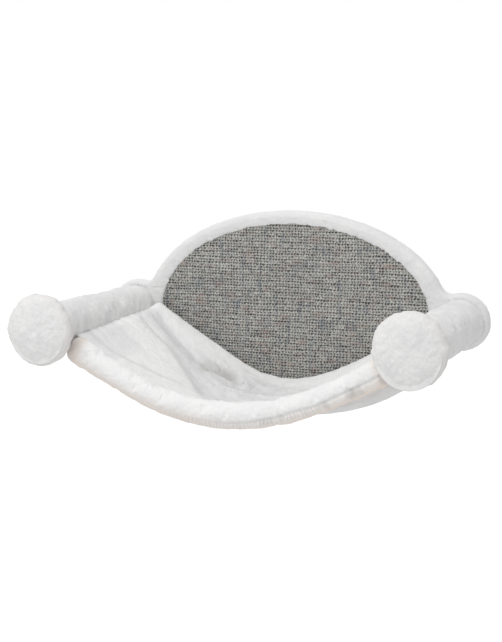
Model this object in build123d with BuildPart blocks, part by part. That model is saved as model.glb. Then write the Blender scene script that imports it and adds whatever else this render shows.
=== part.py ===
"""Wall-mounted cat hammock: a plush-edged scratching board that carries two arms,
and a plush hammock that hangs between the arms and is kept on by a padded end disc on each.

Frame: the wall is the plane Y = 0 and the hammock stands out from it towards -Y.
X runs along the wall, Z is up, and the origin is the middle of the board on the level of the arm axes.
"Out" is a distance from the wall. All lengths are in millimetres.
"""
from build123d import *
import math
import os

# Clearances shared by all pieces
cloth_gap = 0.3
thread_gap = 0.06
drill_gap = 0.3
plug_gap = 0.1
cut_overrun = 1.0
outline_halving_count = 60

# Board: an oval with a round lobe at each end that carries an arm, covered in plush
arm_spacing = 455.0
arm_overhang = 13.5
board_half_height = 137.0
board_thickness = 12.0
lobe_margin = 12.0
lobe_blend_radius = 16.0
border_pile = 6.0
border_round = 5.0
border_side_width = 24.5
border_top_width = 16.0
back_pile = 3.0
back_round = 2.4
back_turnover = 25.0
bolt_window_radius = 16.0

# Scratching panel
panel_thickness = 5.0
panel_edge_round = 1.5

# Keyhole hangers on the back of the board
hanger_inset = 64.0
hanger_height = 32.0
hanger_length = 46.0
hanger_width = 17.0
hanger_thickness = 1.6
hanger_corner_radius = 4.0
hanger_clearance = 3.0
keyhole_entry_radius = 5.0
keyhole_slot_width = 5.0
keyhole_slot_length = 11.0
hanger_screw_inset = 5.0
hanger_screw_length = 9.0
hanger_screw_radius = 1.5
hanger_screw_head_radius = 2.9
head_pocket_radius = 7.0
head_pocket_depth = 5.0

# Arms: a thick cardboard tube with a wooden plug in each end
arm_tube_radius = 25.0
arm_tube_wall = 4.0
arm_tube_length = 263.0
arm_plug_length = 30.0
arm_plug_chamfer = 1.0

# Threaded inserts, bolts and washers
bolt_radius = 4.0
bolt_head_radius = 8.0
bolt_head_height = 3.5
bolt_head_round = 1.2
hex_key_width = 5.0
hex_key_depth = 2.2
arm_bolt_length = 26.0
disc_bolt_length = 24.0
insert_radius = 6.0
insert_length = 16.0
insert_flange_radius = 8.5
insert_flange_height = 1.4
washer_radius = 10.0
washer_thickness = 1.6
bolt_recess_depth = 6.0

# End discs: a wooden disc in a padded plush cover
disc_radius = 44.0
disc_pile = 7.0
disc_board_thickness = 12.0
disc_crown = 2.5
disc_back_round = 9.0
disc_core_edge = 1.5

# Hammock sleeves round the arms
sleeve_cloth = 4.7
sleeve_pucker_count = 9
sleeve_pucker_depth = 1.3

# Hammock bed between the sleeves
bed_plush_thickness = 4.5
bed_lining_thickness = 1.5
bed_arc_count = 12
bed_station_count = 9
bed_back_dip = 88.0
bed_front_dip = 88.0
bed_belly = 15.0
bed_back_edge_height = 8.0
bed_front_edge_height = -12.0
bed_back_softness = 42.0
bed_front_softness = 125.0

# Main folds of the bed: two ridges, two valleys along the back and a pucker in the middle. Each runs
# from one place to another, given as shares of the half width and of the depth. It is steep on its
# left-hand side, seen along the run from above, and broad on the other.
fold_start_shares = ((-0.95, 0.28), (-0.84, 0.17), (0.42, 0.80), (0.26, 0.21), (-0.34, 0.42))
fold_end_shares = ((-0.32, 0.74), (-0.16, 0.22), (0.95, 0.33), (0.82, 0.16), (0.24, 0.34))
fold_heights = (6.0, -5.0, 4.5, -4.0, 2.5)
fold_steep_widths = (17.0, 16.0, 17.0, 16.0, 18.0)
fold_broad_widths = (52.0, 20.0, 46.0, 20.0, 24.0)

# Padded roll along the front edge of the hammock
roll_disc_gap = 5.0
roll_depth = 14.0
roll_height = 13.5
roll_end_size = 17.0
roll_cover_thickness = 4.0
roll_drop = 4.0
roll_end_drop = 5.0
roll_softness = 140.0
roll_station_count = 9

# Narrow hem along the back edge of the hammock
hem_board_gap = 5.0
hem_radius = 5.0
hem_station_count = 9

# How far the roll and the hem reach over the sleeves before they are cut to them
sleeve_bite = 6.0

# Places worked out from the sizes above
arm_x = arm_spacing / 2
lobe_radius = arm_tube_radius + lobe_margin
board_half_width = arm_x - arm_overhang
panel_half_width = board_half_width - border_side_width
panel_half_height = board_half_height - border_top_width
back_window_half_width = board_half_width - back_turnover
back_window_half_height = board_half_height - back_turnover
hanger_x = board_half_width - hanger_inset
hanger_screw_spacing = hanger_length - 2 * hanger_screw_inset
board_back = back_pile
board_front = board_back + board_thickness
border_front = board_front + border_pile
arm_start = board_front
arm_end = arm_start + arm_tube_length
disc_core_radius = disc_radius - disc_pile
disc_core_back = arm_end
disc_core_front = disc_core_back + disc_board_thickness
disc_plush_back = disc_core_back - disc_pile
disc_plush_front = disc_core_front + disc_pile
sleeve_inner_radius = arm_tube_radius + cloth_gap
sleeve_radius = sleeve_inner_radius + sleeve_cloth
sleeve_start = border_front + cloth_gap
sleeve_end = disc_plush_back - cloth_gap
tube_end_x = arm_x - sleeve_radius + sleeve_bite
hem_out = border_front + hem_board_gap + hem_radius
roll_out = disc_plush_back - roll_disc_gap - roll_depth
roll_dip = bed_front_dip + roll_drop
roll_end_height = bed_front_edge_height - roll_end_drop
bed_start = hem_out + hem_radius + cloth_gap
bed_end = roll_out - roll_depth - cloth_gap
bed_depth = bed_end - bed_start
sides = {"left": -1, "right": 1}

os.makedirs("parts", exist_ok=True)


def save(builder, label):
    """Name the finished piece and write it to its own file."""
    builder.part.label = label
    export_step(builder.part, f"parts/{label}.step")


def wall_plane(out):
    """A plane parallel to the wall, the given distance out from it, that faces the room."""
    return Plane.XZ.offset(out)


def board_outline(inset):
    """The closed outline of the oval with its two round lobes, smaller by the inset all round.

    A hollow arc joins the oval to each lobe. Its middle lies its own radius off both. It is found by
    halving the stretch of the oval that it can touch.
    """
    half_width = board_half_width - inset
    half_height = board_half_height - inset
    lobe = lobe_radius - inset
    hollow = lobe_blend_radius + inset
    lobe_middle = Vector(arm_x, 0)

    def hollow_middle(angle):
        normal = Vector(half_height * math.cos(angle), half_width * math.sin(angle)).normalized()
        return Vector(half_width * math.cos(angle), half_height * math.sin(angle)) + normal * hollow

    near, far = 0, math.pi / 2
    for _ in range(outline_halving_count):
        touch = (near + far) / 2
        if (hollow_middle(touch) - lobe_middle).length < lobe + hollow:
            near = touch
        else:
            far = touch
    middle = hollow_middle(touch)
    to_lobe = (lobe_middle - middle).normalized()
    start = math.degrees(touch)
    with BuildLine() as outline:
        oval = EllipticalCenterArc((0, 0), half_width, half_height, start, arc_size=90 - start)
        to_oval = (oval @ 0 - middle).normalized()
        ThreePointArc(
            oval @ 0,
            middle + (to_oval + to_lobe).normalized() * hollow,
            middle + to_lobe * hollow,
        )
        ThreePointArc(
            middle + to_lobe * hollow,
            lobe_middle + (Vector(1, 0) - to_lobe).normalized() * lobe,
            lobe_middle + Vector(lobe, 0),
        )
        mirror(about=Plane.YZ)
        mirror(about=Plane.XZ)
    return outline.edges()


def arm_axis(side):
    """The axis of an arm, at right angles to the wall."""
    return Axis((side * arm_x, 0, 0), (0, -1, 0))


def turned(side, points):
    """Turn an outline of (radius, out) points round an arm's axis."""
    with BuildSketch(Plane.XY) as profile:
        with BuildLine():
            Polyline([(side * arm_x + radius, -out) for radius, out in points], close=True)
        make_face()
    revolve(profile.sketch, axis=arm_axis(side))


def keyhole(radius, slot_width, length):
    """Draw a keyhole: a round entry with a slot that runs up from its middle."""
    Circle(radius)
    with Locations((0, length / 2)):
        SlotCenterToCenter(length, slot_width, rotation=90)


# Wooden board with bolt holes at the lobes and pockets behind the hangers
with BuildPart() as back_board:
    with BuildSketch(wall_plane(board_back)):
        make_face(board_outline(border_pile))
    extrude(amount=board_thickness)
    with BuildSketch(wall_plane(board_back)):
        with Locations((-arm_x, 0), (arm_x, 0)):
            Circle(bolt_radius + drill_gap)
    extrude(amount=board_thickness, mode=Mode.SUBTRACT)
    with BuildSketch(wall_plane(board_back)):
        with Locations((-arm_x, 0), (arm_x, 0)):
            Circle(washer_radius + drill_gap)
    extrude(amount=bolt_recess_depth, mode=Mode.SUBTRACT)
    with BuildSketch(wall_plane(board_back)):
        with Locations((-hanger_x, hanger_height), (hanger_x, hanger_height)):
            keyhole(head_pocket_radius, 2 * head_pocket_radius, keyhole_slot_length)
    extrude(amount=head_pocket_depth, mode=Mode.SUBTRACT)
    with BuildSketch(wall_plane(board_back)):
        for side in sides.values():
            with Locations((side * hanger_x, hanger_height)):
                with GridLocations(hanger_width, hanger_screw_spacing, 1, 2):
                    Circle(hanger_screw_radius + plug_gap)
    extrude(amount=hanger_screw_length, mode=Mode.SUBTRACT)
save(back_board, "back_board")

# Plush that is wrapped over the board's front edge and turned over on its back
with BuildPart() as board_plush_border:
    with BuildSketch(wall_plane(0)):
        make_face(board_outline(0))
    extrude(amount=border_front)
    fillet(board_plush_border.faces().sort_by(Axis.Y)[0].edges(), border_round)
    fillet(board_plush_border.faces().sort_by(Axis.Y)[-1].edges(), back_round)
    with BuildSketch(wall_plane(board_back)):
        make_face(board_outline(border_pile - cloth_gap))
    extrude(amount=board_thickness, mode=Mode.SUBTRACT)
    with BuildSketch(wall_plane(board_front)):
        Ellipse(panel_half_width + cloth_gap, panel_half_height + cloth_gap)
        with Locations((-arm_x, 0), (arm_x, 0)):
            Circle(arm_tube_radius + cloth_gap)
    extrude(amount=border_pile, mode=Mode.SUBTRACT)
    with BuildSketch(wall_plane(0)):
        Ellipse(back_window_half_width, back_window_half_height)
        with Locations((-arm_x, 0), (arm_x, 0)):
            Circle(bolt_window_radius)
        with Locations((-hanger_x, hanger_height), (hanger_x, hanger_height)):
            RectangleRounded(
                hanger_width + 2 * hanger_clearance, hanger_length + 2 * hanger_clearance, hanger_corner_radius
            )
    extrude(amount=back_pile, mode=Mode.SUBTRACT)
save(board_plush_border, "board_plush_border")

# Woven sisal panel
with BuildPart() as sisal_panel:
    with BuildSketch(wall_plane(board_front)):
        Ellipse(panel_half_width, panel_half_height)
    extrude(amount=panel_thickness)
    fillet(sisal_panel.faces().sort_by(Axis.Y)[0].edges(), panel_edge_round)
save(sisal_panel, "sisal_panel")

# Keyhole hangers and their screws
for side_name, side in sides.items():
    with BuildPart() as hanger_plate:
        with BuildSketch(wall_plane(board_back - hanger_thickness)) as plate_shape:
            with Locations((side * hanger_x, hanger_height)):
                RectangleRounded(hanger_width, hanger_length, hanger_corner_radius)
        extrude(amount=hanger_thickness)
        with BuildSketch(wall_plane(board_back - hanger_thickness)):
            with Locations((side * hanger_x, hanger_height)):
                keyhole(keyhole_entry_radius, keyhole_slot_width, keyhole_slot_length)
        extrude(amount=hanger_thickness, mode=Mode.SUBTRACT)
        with Locations(wall_plane(board_back - hanger_thickness)):
            with Locations((side * hanger_x, hanger_height)):
                with GridLocations(hanger_width, hanger_screw_spacing, 1, 2):
                    Hole(hanger_screw_radius + drill_gap)
    save(hanger_plate, f"hanger_plate_{side_name}")

with BuildPart() as hanger_screws:
    for side in sides.values():
        for end in (-1, 1):
            screw_x = side * hanger_x
            screw_z = hanger_height + end * hanger_screw_spacing / 2
            head_back = board_back - hanger_thickness
            head_height = hanger_screw_head_radius - hanger_screw_radius
            with BuildSketch(wall_plane(head_back - head_height)):
                with Locations((screw_x, screw_z)):
                    Circle(hanger_screw_head_radius)
            extrude(amount=head_height)
            with BuildSketch(wall_plane(head_back)):
                with Locations((screw_x, screw_z)):
                    Circle(hanger_screw_radius)
            extrude(amount=hanger_screw_length)
save(hanger_screws, "hanger_screws")


def bolt(side, head_out, head_side, length):
    """A round-headed bolt with a hex key recess: its shank starts at head_out and runs away from the head."""
    key_circle = hex_key_width / math.sqrt(3)
    with BuildPart() as piece:
        with BuildSketch(Plane.XZ.offset(head_out)):
            with Locations((side * arm_x, 0)):
                Circle(bolt_head_radius)
        extrude(amount=head_side * bolt_head_height)
        outer_face = piece.faces().sort_by(Axis.Y)[-1 if head_side < 0 else 0]
        fillet(outer_face.edges(), bolt_head_round)
        with BuildSketch(Plane.XZ.offset(head_out + head_side * bolt_head_height)):
            with Locations((side * arm_x, 0)):
                RegularPolygon(key_circle, 6)
        extrude(amount=-head_side * hex_key_depth, mode=Mode.SUBTRACT)
        with BuildSketch(Plane.XZ.offset(head_out)):
            with Locations((side * arm_x, 0)):
                Circle(bolt_radius)
        extrude(amount=-head_side * length)
    return piece


def insert(side, flange_out, depth_side):
    """A threaded insert: its flange stands at flange_out and its body runs into the plug."""
    return turned(side, [
        (bolt_radius + thread_gap, flange_out),
        (insert_flange_radius, flange_out),
        (insert_flange_radius, flange_out + depth_side * insert_flange_height),
        (insert_radius, flange_out + depth_side * insert_flange_height),
        (insert_radius, flange_out + depth_side * insert_length),
        (bolt_radius + thread_gap, flange_out + depth_side * insert_length),
    ])


def plug(side, face_out, depth_side):
    """A wooden plug that fills an arm's end, bored and recessed for its insert and for the bolt's point."""
    radius = arm_tube_radius - arm_tube_wall - plug_gap
    far = face_out + depth_side * arm_plug_length
    return turned(side, [
        (insert_flange_radius + plug_gap, face_out),
        (radius, face_out),
        (radius, far - depth_side * arm_plug_chamfer),
        (radius - arm_plug_chamfer, far),
        (insert_radius + plug_gap, far),
        (insert_radius + plug_gap, face_out + depth_side * insert_flange_height),
        (insert_flange_radius + plug_gap, face_out + depth_side * insert_flange_height),
    ])


# Arms and end discs
for side_name, side in sides.items():
    with BuildPart() as arm_tube:
        with BuildSketch(wall_plane(arm_start)):
            with Locations((side * arm_x, 0)):
                Circle(arm_tube_radius)
                Circle(arm_tube_radius - arm_tube_wall, mode=Mode.SUBTRACT)
        extrude(amount=arm_tube_length)
    save(arm_tube, f"arm_tube_{side_name}")

    with BuildPart() as arm_rear_plug:
        plug(side, arm_start, 1)
    save(arm_rear_plug, f"arm_rear_plug_{side_name}")

    with BuildPart() as arm_front_plug:
        plug(side, arm_end, -1)
    save(arm_front_plug, f"arm_front_plug_{side_name}")

    with BuildPart() as arm_inserts:
        insert(side, arm_start, 1)
        insert(side, arm_end, -1)
    save(arm_inserts, f"arm_inserts_{side_name}")

    washer_back = board_back + bolt_recess_depth - washer_thickness
    with BuildPart() as arm_washer:
        with BuildSketch(wall_plane(washer_back)):
            with Locations((side * arm_x, 0)):
                Circle(washer_radius)
                Circle(bolt_radius + drill_gap, mode=Mode.SUBTRACT)
        extrude(amount=washer_thickness)
    save(arm_washer, f"arm_washer_{side_name}")

    arm_bolt = bolt(side, washer_back, -1, arm_bolt_length)
    save(arm_bolt, f"arm_bolt_{side_name}")

    with BuildPart() as end_disc_core:
        with BuildSketch(wall_plane(disc_core_back)):
            with Locations((side * arm_x, 0)):
                Circle(disc_core_radius)
        extrude(amount=disc_board_thickness)
        fillet(end_disc_core.faces().sort_by(Axis.Y)[0].edges(), disc_core_edge)
        with BuildSketch(wall_plane(disc_core_front)):
            with Locations((side * arm_x, 0)):
                Circle(bolt_head_radius + drill_gap)
        extrude(amount=-bolt_head_height, mode=Mode.SUBTRACT)
        with BuildSketch(wall_plane(disc_core_back)):
            with Locations((side * arm_x, 0)):
                Circle(bolt_radius + drill_gap)
        extrude(amount=disc_board_thickness, mode=Mode.SUBTRACT)
    save(end_disc_core, f"end_disc_core_{side_name}")

    end_disc_bolt = bolt(side, disc_core_front - bolt_head_height, 1, disc_bolt_length)
    save(end_disc_bolt, f"end_disc_bolt_{side_name}")

    with BuildPart() as end_disc_plush:
        middle = (disc_plush_back + disc_plush_front - disc_crown) / 2
        with BuildSketch(Plane.XY):
            with BuildLine(Location((side * arm_x, 0, 0))):
                front_round = middle - (disc_plush_front - disc_crown)
                crown = ThreePointArc(
                    (0, -disc_plush_front),
                    (side * (disc_radius + front_round) / 2, -disc_plush_front + disc_crown / 4),
                    (side * (disc_radius + front_round), -disc_plush_front + disc_crown),
                )
                rim = RadiusArc(crown @ 1, (side * disc_radius, -middle), side * front_round)
                back_start = (side * disc_radius, -disc_plush_back - disc_back_round)
                back_end = (side * (disc_radius - disc_back_round), -disc_plush_back)
                edge = Line(rim @ 1, back_start)
                back_corner = RadiusArc(back_start, back_end, -side * disc_back_round)
                Polyline(
                    back_corner @ 1,
                    (side * sleeve_inner_radius, -disc_plush_back),
                    (side * sleeve_inner_radius, -disc_core_back),
                    (side * (disc_core_radius + cloth_gap), -disc_core_back),
                    (side * (disc_core_radius + cloth_gap), -disc_core_front),
                    (0, -disc_core_front),
                    crown @ 0,
                )
            make_face()
        revolve(axis=arm_axis(side))
    save(end_disc_plush, f"end_disc_plush_{side_name}")

# Sleeves of the hammock round the arms, puckered where the cloth is bunched
for side_name, side in sides.items():
    with BuildPart() as arm_sleeve:
        pucker_length = (sleeve_end - sleeve_start) / sleeve_pucker_count
        valley = sleeve_radius - sleeve_pucker_depth
        with BuildSketch(Plane.XY):
            with BuildLine(Location((side * arm_x, 0, 0))):
                for pucker in range(sleeve_pucker_count):
                    start = sleeve_start + pucker * pucker_length
                    ThreePointArc(
                        (side * valley, -start),
                        (side * sleeve_radius, -start - pucker_length / 2),
                        (side * valley, -start - pucker_length),
                    )
                Polyline(
                    (side * valley, -sleeve_end),
                    (side * sleeve_inner_radius, -sleeve_end),
                    (side * sleeve_inner_radius, -sleeve_start),
                    (side * valley, -sleeve_start),
                )
            make_face()
        revolve(axis=arm_axis(side))
    save(arm_sleeve, f"arm_sleeve_{side_name}")


def between(start, end, share):
    """The value that lies the given share of the way from start to end."""
    return start + (end - start) * share


def on_sleeve(angle):
    """The (x, height) point at an angle from level on the inner side of the right sleeve, one gap off its cloth."""
    reach = sleeve_radius + cloth_gap
    return arm_x - reach * math.cos(angle), reach * math.sin(angle)


def hanging(x, middle, end, end_x, softness):
    """Height of a cloth edge that hangs between two ends: straight near the ends and rounded in the middle."""

    def bow(reach):
        return math.hypot(reach, softness) - softness

    return middle + (end - middle) * bow(x) / bow(end_x)


def fold_height(x, out, edge_x):
    """Height that the main folds add: each is a bell across its run and fades beyond the run's two ends."""
    total = 0
    for start, end, height, steep, broad in zip(
        fold_start_shares, fold_end_shares, fold_heights, fold_steep_widths, fold_broad_widths
    ):
        run = Vector((end[0] - start[0]) * edge_x, (end[1] - start[1]) * bed_depth)
        place = Vector(x - start[0] * edge_x, out - bed_start - start[1] * bed_depth)
        along = place.dot(run) / run.dot(run)
        beside = run.normalized().cross(place).Z
        reach = steep if beside < 0 else broad
        total += height * math.exp(-((beside / reach) ** 2) - (2 * along - 1) ** 4)
    share = (out - bed_start) / bed_depth
    return total * (1 - (2 * share - 1) ** 6) * (1 - (x / edge_x) ** 6)


def bed_height(x, out):
    """Height of the bed's upper face: a hanging curve between the sleeves, lower in the middle, with folds."""
    share = (out - bed_start) / bed_depth
    belly = bed_belly * 4 * share * (1 - share)
    middle = -between(bed_back_dip, bed_front_dip, share) - belly
    edge_x, edge = on_sleeve(bed_edge_angle(out))
    softness = between(bed_back_softness, bed_front_softness, share)
    return hanging(x, middle, edge, edge_x, softness) + fold_height(x, out, edge_x)


def bed_edge_angle(out):
    """Where the bed's upper face meets the sleeve, as an angle from level."""
    share = (out - bed_start) / bed_depth
    return math.asin(between(bed_back_edge_height, bed_front_edge_height, share) / sleeve_radius)


def bed_section(out, top_drop, thickness):
    """One section of the bed: a chain of arcs above, the same chain below it, and ends that follow the sleeves."""
    reach = sleeve_radius + cloth_gap
    top_angle = bed_edge_angle(out)
    ends = {}
    for drop in (top_drop, top_drop + thickness):
        ends[drop] = math.asin(math.sin(top_angle) - drop / reach)

    def chain(drop):
        edge_x, edge_height = on_sleeve(ends[drop])
        places = [
            (2 * part / (2 * bed_arc_count) - 1) * edge_x for part in range(2 * bed_arc_count + 1)
        ]
        points = [(x, bed_height(x, out) - drop) for x in places]
        points[0] = (-edge_x, edge_height)
        points[-1] = (edge_x, edge_height)
        for arc in range(bed_arc_count):
            ThreePointArc(*points[2 * arc : 2 * arc + 3])

    middle_x, middle_height = on_sleeve((ends[top_drop] + ends[top_drop + thickness]) / 2)
    with BuildSketch(wall_plane(out)) as section:
        with BuildLine():
            chain(top_drop)
            chain(top_drop + thickness)
            for end_side in sides.values():
                ThreePointArc(*[
                    (end_side * x, height)
                    for x, height in (
                        on_sleeve(ends[top_drop]),
                        (middle_x, middle_height),
                        on_sleeve(ends[top_drop + thickness]),
                    )
                ])
        make_face()
    return section.sketch


def hanging_tube(out, middle, end_height, softness, depth, height, end_size, stations):
    """A soft tube along a hanging edge: a loft through ovals of four arcs, square to the edge.

    depth and height are the oval's half sizes in the middle, and end_size is its half height near the sleeves.
    """

    def height_at(x):
        return hanging(x, middle, end_height, tube_end_x, softness)

    sections = []
    for station in range(stations):
        share = 2 * station / (stations - 1) - 1
        x = share * tube_end_x
        slope = (height_at(x + cut_overrun) - height_at(x - cut_overrun)) / (2 * cut_overrun)
        half_height = between(height, end_size, share * share)
        corners = [(depth, 0), (0, half_height), (-depth, 0), (0, -half_height)]
        diagonal = math.sqrt(1 / 2)
        quarters = [(1, 1), (-1, 1), (-1, -1), (1, -1)]
        section_plane = Plane(origin=(x, -out, height_at(x)), x_dir=(0, -1, 0), z_dir=(1, 0, slope))
        with BuildSketch(section_plane) as section:
            with BuildLine():
                for corner, (across, up) in enumerate(quarters):
                    ThreePointArc(
                        corners[corner],
                        (across * depth * diagonal, up * half_height * diagonal),
                        corners[(corner + 1) % len(corners)],
                    )
            make_face()
        sections.append(section.sketch)
    loft(sections)


def clear_of_sleeves():
    """Cut the open part back from both sleeves."""
    with BuildSketch(wall_plane(0)) as arm_spaces:
        with Locations((-arm_x, 0), (arm_x, 0)):
            Circle(sleeve_radius + cloth_gap)
    extrude(arm_spaces.sketch, amount=disc_plush_front, mode=Mode.SUBTRACT)


def roll_tube(inset):
    """The front roll, smaller by the inset all round."""
    hanging_tube(
        roll_out, -roll_dip, roll_end_height, roll_softness,
        roll_depth - inset, roll_height - inset, roll_end_size - inset, roll_station_count,
    )


def hem_tube(inset):
    """The back hem, smaller by the inset all round."""
    hanging_tube(
        hem_out, -bed_back_dip, bed_back_edge_height - hem_radius, bed_back_softness,
        hem_radius - inset, hem_radius - inset, hem_radius - inset, hem_station_count,
    )


# Padded roll along the front edge: a plush cover and its soft filling
with BuildPart() as roll_filling:
    roll_tube(roll_cover_thickness + cloth_gap)
    clear_of_sleeves()
save(roll_filling, "roll_filling")

with BuildPart() as roll_hollow:
    roll_tube(roll_cover_thickness)

with BuildPart() as front_roll:
    roll_tube(0)
    add(roll_hollow.part, mode=Mode.SUBTRACT)
    clear_of_sleeves()
save(front_roll, "front_roll")

with BuildPart() as back_hem:
    hem_tube(0)
    clear_of_sleeves()
save(back_hem, "back_hem")

# The bed's plush and its lining
for label, top_drop, thickness in (
    ("bed_plush", 0, bed_plush_thickness),
    ("bed_lining", bed_plush_thickness + cloth_gap, bed_lining_thickness),
):
    with BuildPart() as bed_layer:
        shares = [station / (bed_station_count - 1) for station in range(bed_station_count)]
        loft([bed_section(between(bed_start, bed_end, share), top_drop, thickness) for share in shares])
    save(bed_layer, label)
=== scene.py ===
"""Looks of the wall-mounted cat hammock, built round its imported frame.

Lengths are in metres in the frame of the solids: the wall is the plane y = 0 and the hammock stands
out from it towards -y, x runs along the wall and z is up. "Out" is a distance from the wall.
"""
import logging
import math
from dataclasses import dataclass, replace
from enum import Enum

import bpy
import numpy as np
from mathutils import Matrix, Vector
from numpy.typing import NDArray


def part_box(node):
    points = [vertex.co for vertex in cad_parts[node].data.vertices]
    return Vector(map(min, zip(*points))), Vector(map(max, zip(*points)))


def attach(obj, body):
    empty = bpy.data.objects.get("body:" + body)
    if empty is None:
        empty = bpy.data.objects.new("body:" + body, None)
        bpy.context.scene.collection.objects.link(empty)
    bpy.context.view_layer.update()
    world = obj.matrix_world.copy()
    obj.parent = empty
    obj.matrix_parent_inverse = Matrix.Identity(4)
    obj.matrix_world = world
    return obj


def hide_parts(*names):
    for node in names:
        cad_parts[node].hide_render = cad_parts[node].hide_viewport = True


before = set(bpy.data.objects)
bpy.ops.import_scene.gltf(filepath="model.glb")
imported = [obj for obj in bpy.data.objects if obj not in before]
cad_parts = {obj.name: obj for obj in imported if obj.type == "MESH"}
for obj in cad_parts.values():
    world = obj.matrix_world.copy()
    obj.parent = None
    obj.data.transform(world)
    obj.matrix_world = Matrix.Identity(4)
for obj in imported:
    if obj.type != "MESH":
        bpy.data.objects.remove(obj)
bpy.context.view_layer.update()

Array = NDArray[np.float64]
Triple = tuple[float, float, float]
log = logging.getLogger("cat_hammock")


class Side(Enum):
    """The two sides of the hammock, with the sign of their x."""

    LEFT = -1
    RIGHT = 1

    @property
    def word(self) -> str:
        """The side's name in lower case, as the pieces carry it."""
        return self.name.lower()


class Rim(Enum):
    """How the open edges of a two-faced cloth are closed."""

    ROUND = "round"
    SQUARE = "square"


# Noise and curves

def lattice_noise(points: Array, seed: int) -> Array:
    """Smooth noise from -1 to 1: random values at whole-number places, blended between them.

    Args:
        points: places as an (..., 3) array, one noise cell to the unit.
        seed: picks another pattern.

    Returns:
        One value for each place.
    """
    base = np.floor(points)
    part = points - base
    ease = part * part * part * (part * (6.0 * part - 15.0) + 10.0)
    base = base.astype(np.int64)
    total = np.zeros(points.shape[:-1])
    for corner in range(8):
        step = np.array([(corner >> axis) & 1 for axis in range(3)])
        cell = base + step
        mixed = cell[..., 0] * 73856093 ^ cell[..., 1] * 19349663 ^ cell[..., 2] * 83492791 ^ seed * 2654435761
        mixed = (mixed ^ (mixed >> 13)) * 1274126177 & 0xFFFFFFFF
        mixed = (mixed ^ (mixed >> 16)) & 0xFFFF
        weight = np.prod(np.where(step == 1, ease, 1.0 - ease), axis=-1)
        total += weight * (mixed / 32767.5 - 1.0)
    return total


def layered_noise(points: Array, cell: float | Triple, layers: int, seed: int) -> Array:
    """Noise of several cell sizes added up, each layer half as wide and half as strong as the one before.

    Args:
        points: places in metres, (..., 3).
        cell: size of the widest cells in metres, one number or one for each axis.
        layers: how many layers.
        seed: picks another pattern.

    Returns:
        One value for each place, about -1 to 1.
    """
    scaled = points / np.asarray(cell)
    total = np.zeros(points.shape[:-1])
    for layer in range(layers):
        total += lattice_noise(scaled * 2.0**layer + 17.3 * layer, seed + layer) * 0.5**layer
    return total / (2.0 - 0.5 ** (layers - 1))


def smooth_step(value: Array, low: float, high: float) -> Array:
    """An eased step that is 0 below low and 1 above high."""
    share = np.clip((value - low) / (high - low), 0.0, 1.0)
    return share * share * (3.0 - 2.0 * share)


def squared_off(value: Array, power: float) -> Array:
    """A value from -1 to 1 to a power under 1, with its sign kept: it makes a round outline squarer."""
    return np.sign(value) * np.abs(value) ** power


def mix(first: Array, second: Array, share: Array) -> Array:
    """Values at a share of the way from the first to the second."""
    return first * (1.0 - share) + second * share


def joined(*parts: Array | float) -> Array:
    """Join coordinates, each an array or a number, along a new last axis."""
    return np.stack(np.broadcast_arrays(*parts), -1)


def wave(value: Array) -> Array:
    """A cosine wave from 0 at whole numbers to 1 midway between them."""
    return 0.5 - 0.5 * np.cos(2 * math.pi * value)


def full_turn(count: int) -> Array:
    """Angles evenly round a circle, one to a column."""
    return np.linspace(0.0, 2 * math.pi, count, endpoint=False)[None, :]


def angle_from(turn: Array, seam: Array) -> Array:
    """The angle from a seam to each place, from minus to plus half a turn."""
    return (turn - seam + math.pi) % (2 * math.pi) - math.pi


def between_stations(values: Array, steps: int) -> Array:
    """Rows of stations with more rows between each pair, evenly spaced along axis 1."""
    count = values.shape[1]
    at = np.linspace(0, count - 1, (count - 1) * steps + 1)
    low = np.minimum(at.astype(int), count - 2)
    return mix(values[:, low], values[:, low + 1], (at - low)[None, :, None])


def cubic_along(values: Array, at: Array, wrap: bool) -> Array:
    """Values between the rows of a grid, on cubic curves through the rows.

    Args:
        values: (rows, ...) values.
        at: row numbers, also between two rows.
        wrap: whether the last row is followed by the first.

    Returns:
        One row of values for each place.
    """
    count = len(values)
    base = np.floor(at).astype(int)
    part = (at - base).reshape(-1, *[1] * (values.ndim - 1))
    steps = [base + k for k in (-1, 0, 1, 2)]
    before, here, after, beyond = (values[k % count if wrap else np.clip(k, 0, count - 1)] for k in steps)
    bend = 2 * before - 5 * here + 4 * after - beyond + part * (3 * (here - after) + beyond - before)
    return here + 0.5 * part * (after - before + part * bend)


def bell(value: Array, width: float) -> Array:
    """A bell curve of the given half width that is 1 where the value is 0."""
    return np.exp(-((value / width) ** 2))


# Meshes from grids

def grid_faces(rows: int, columns: int, wrap_rows: bool, wrap_columns: bool) -> NDArray[np.int64]:
    """The four-sided faces between the points of a grid, as an (n, 4) array of point numbers."""
    row = np.arange(rows if wrap_rows else rows - 1)
    column = np.arange(columns if wrap_columns else columns - 1)
    row, column = np.meshgrid(row, column, indexing="ij")
    next_row, next_column = (row + 1) % rows, (column + 1) % columns
    corners = (row * columns + column, next_row * columns + column,
               next_row * columns + next_column, row * columns + next_column)
    return np.stack([c.ravel() for c in corners], axis=1)


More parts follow.
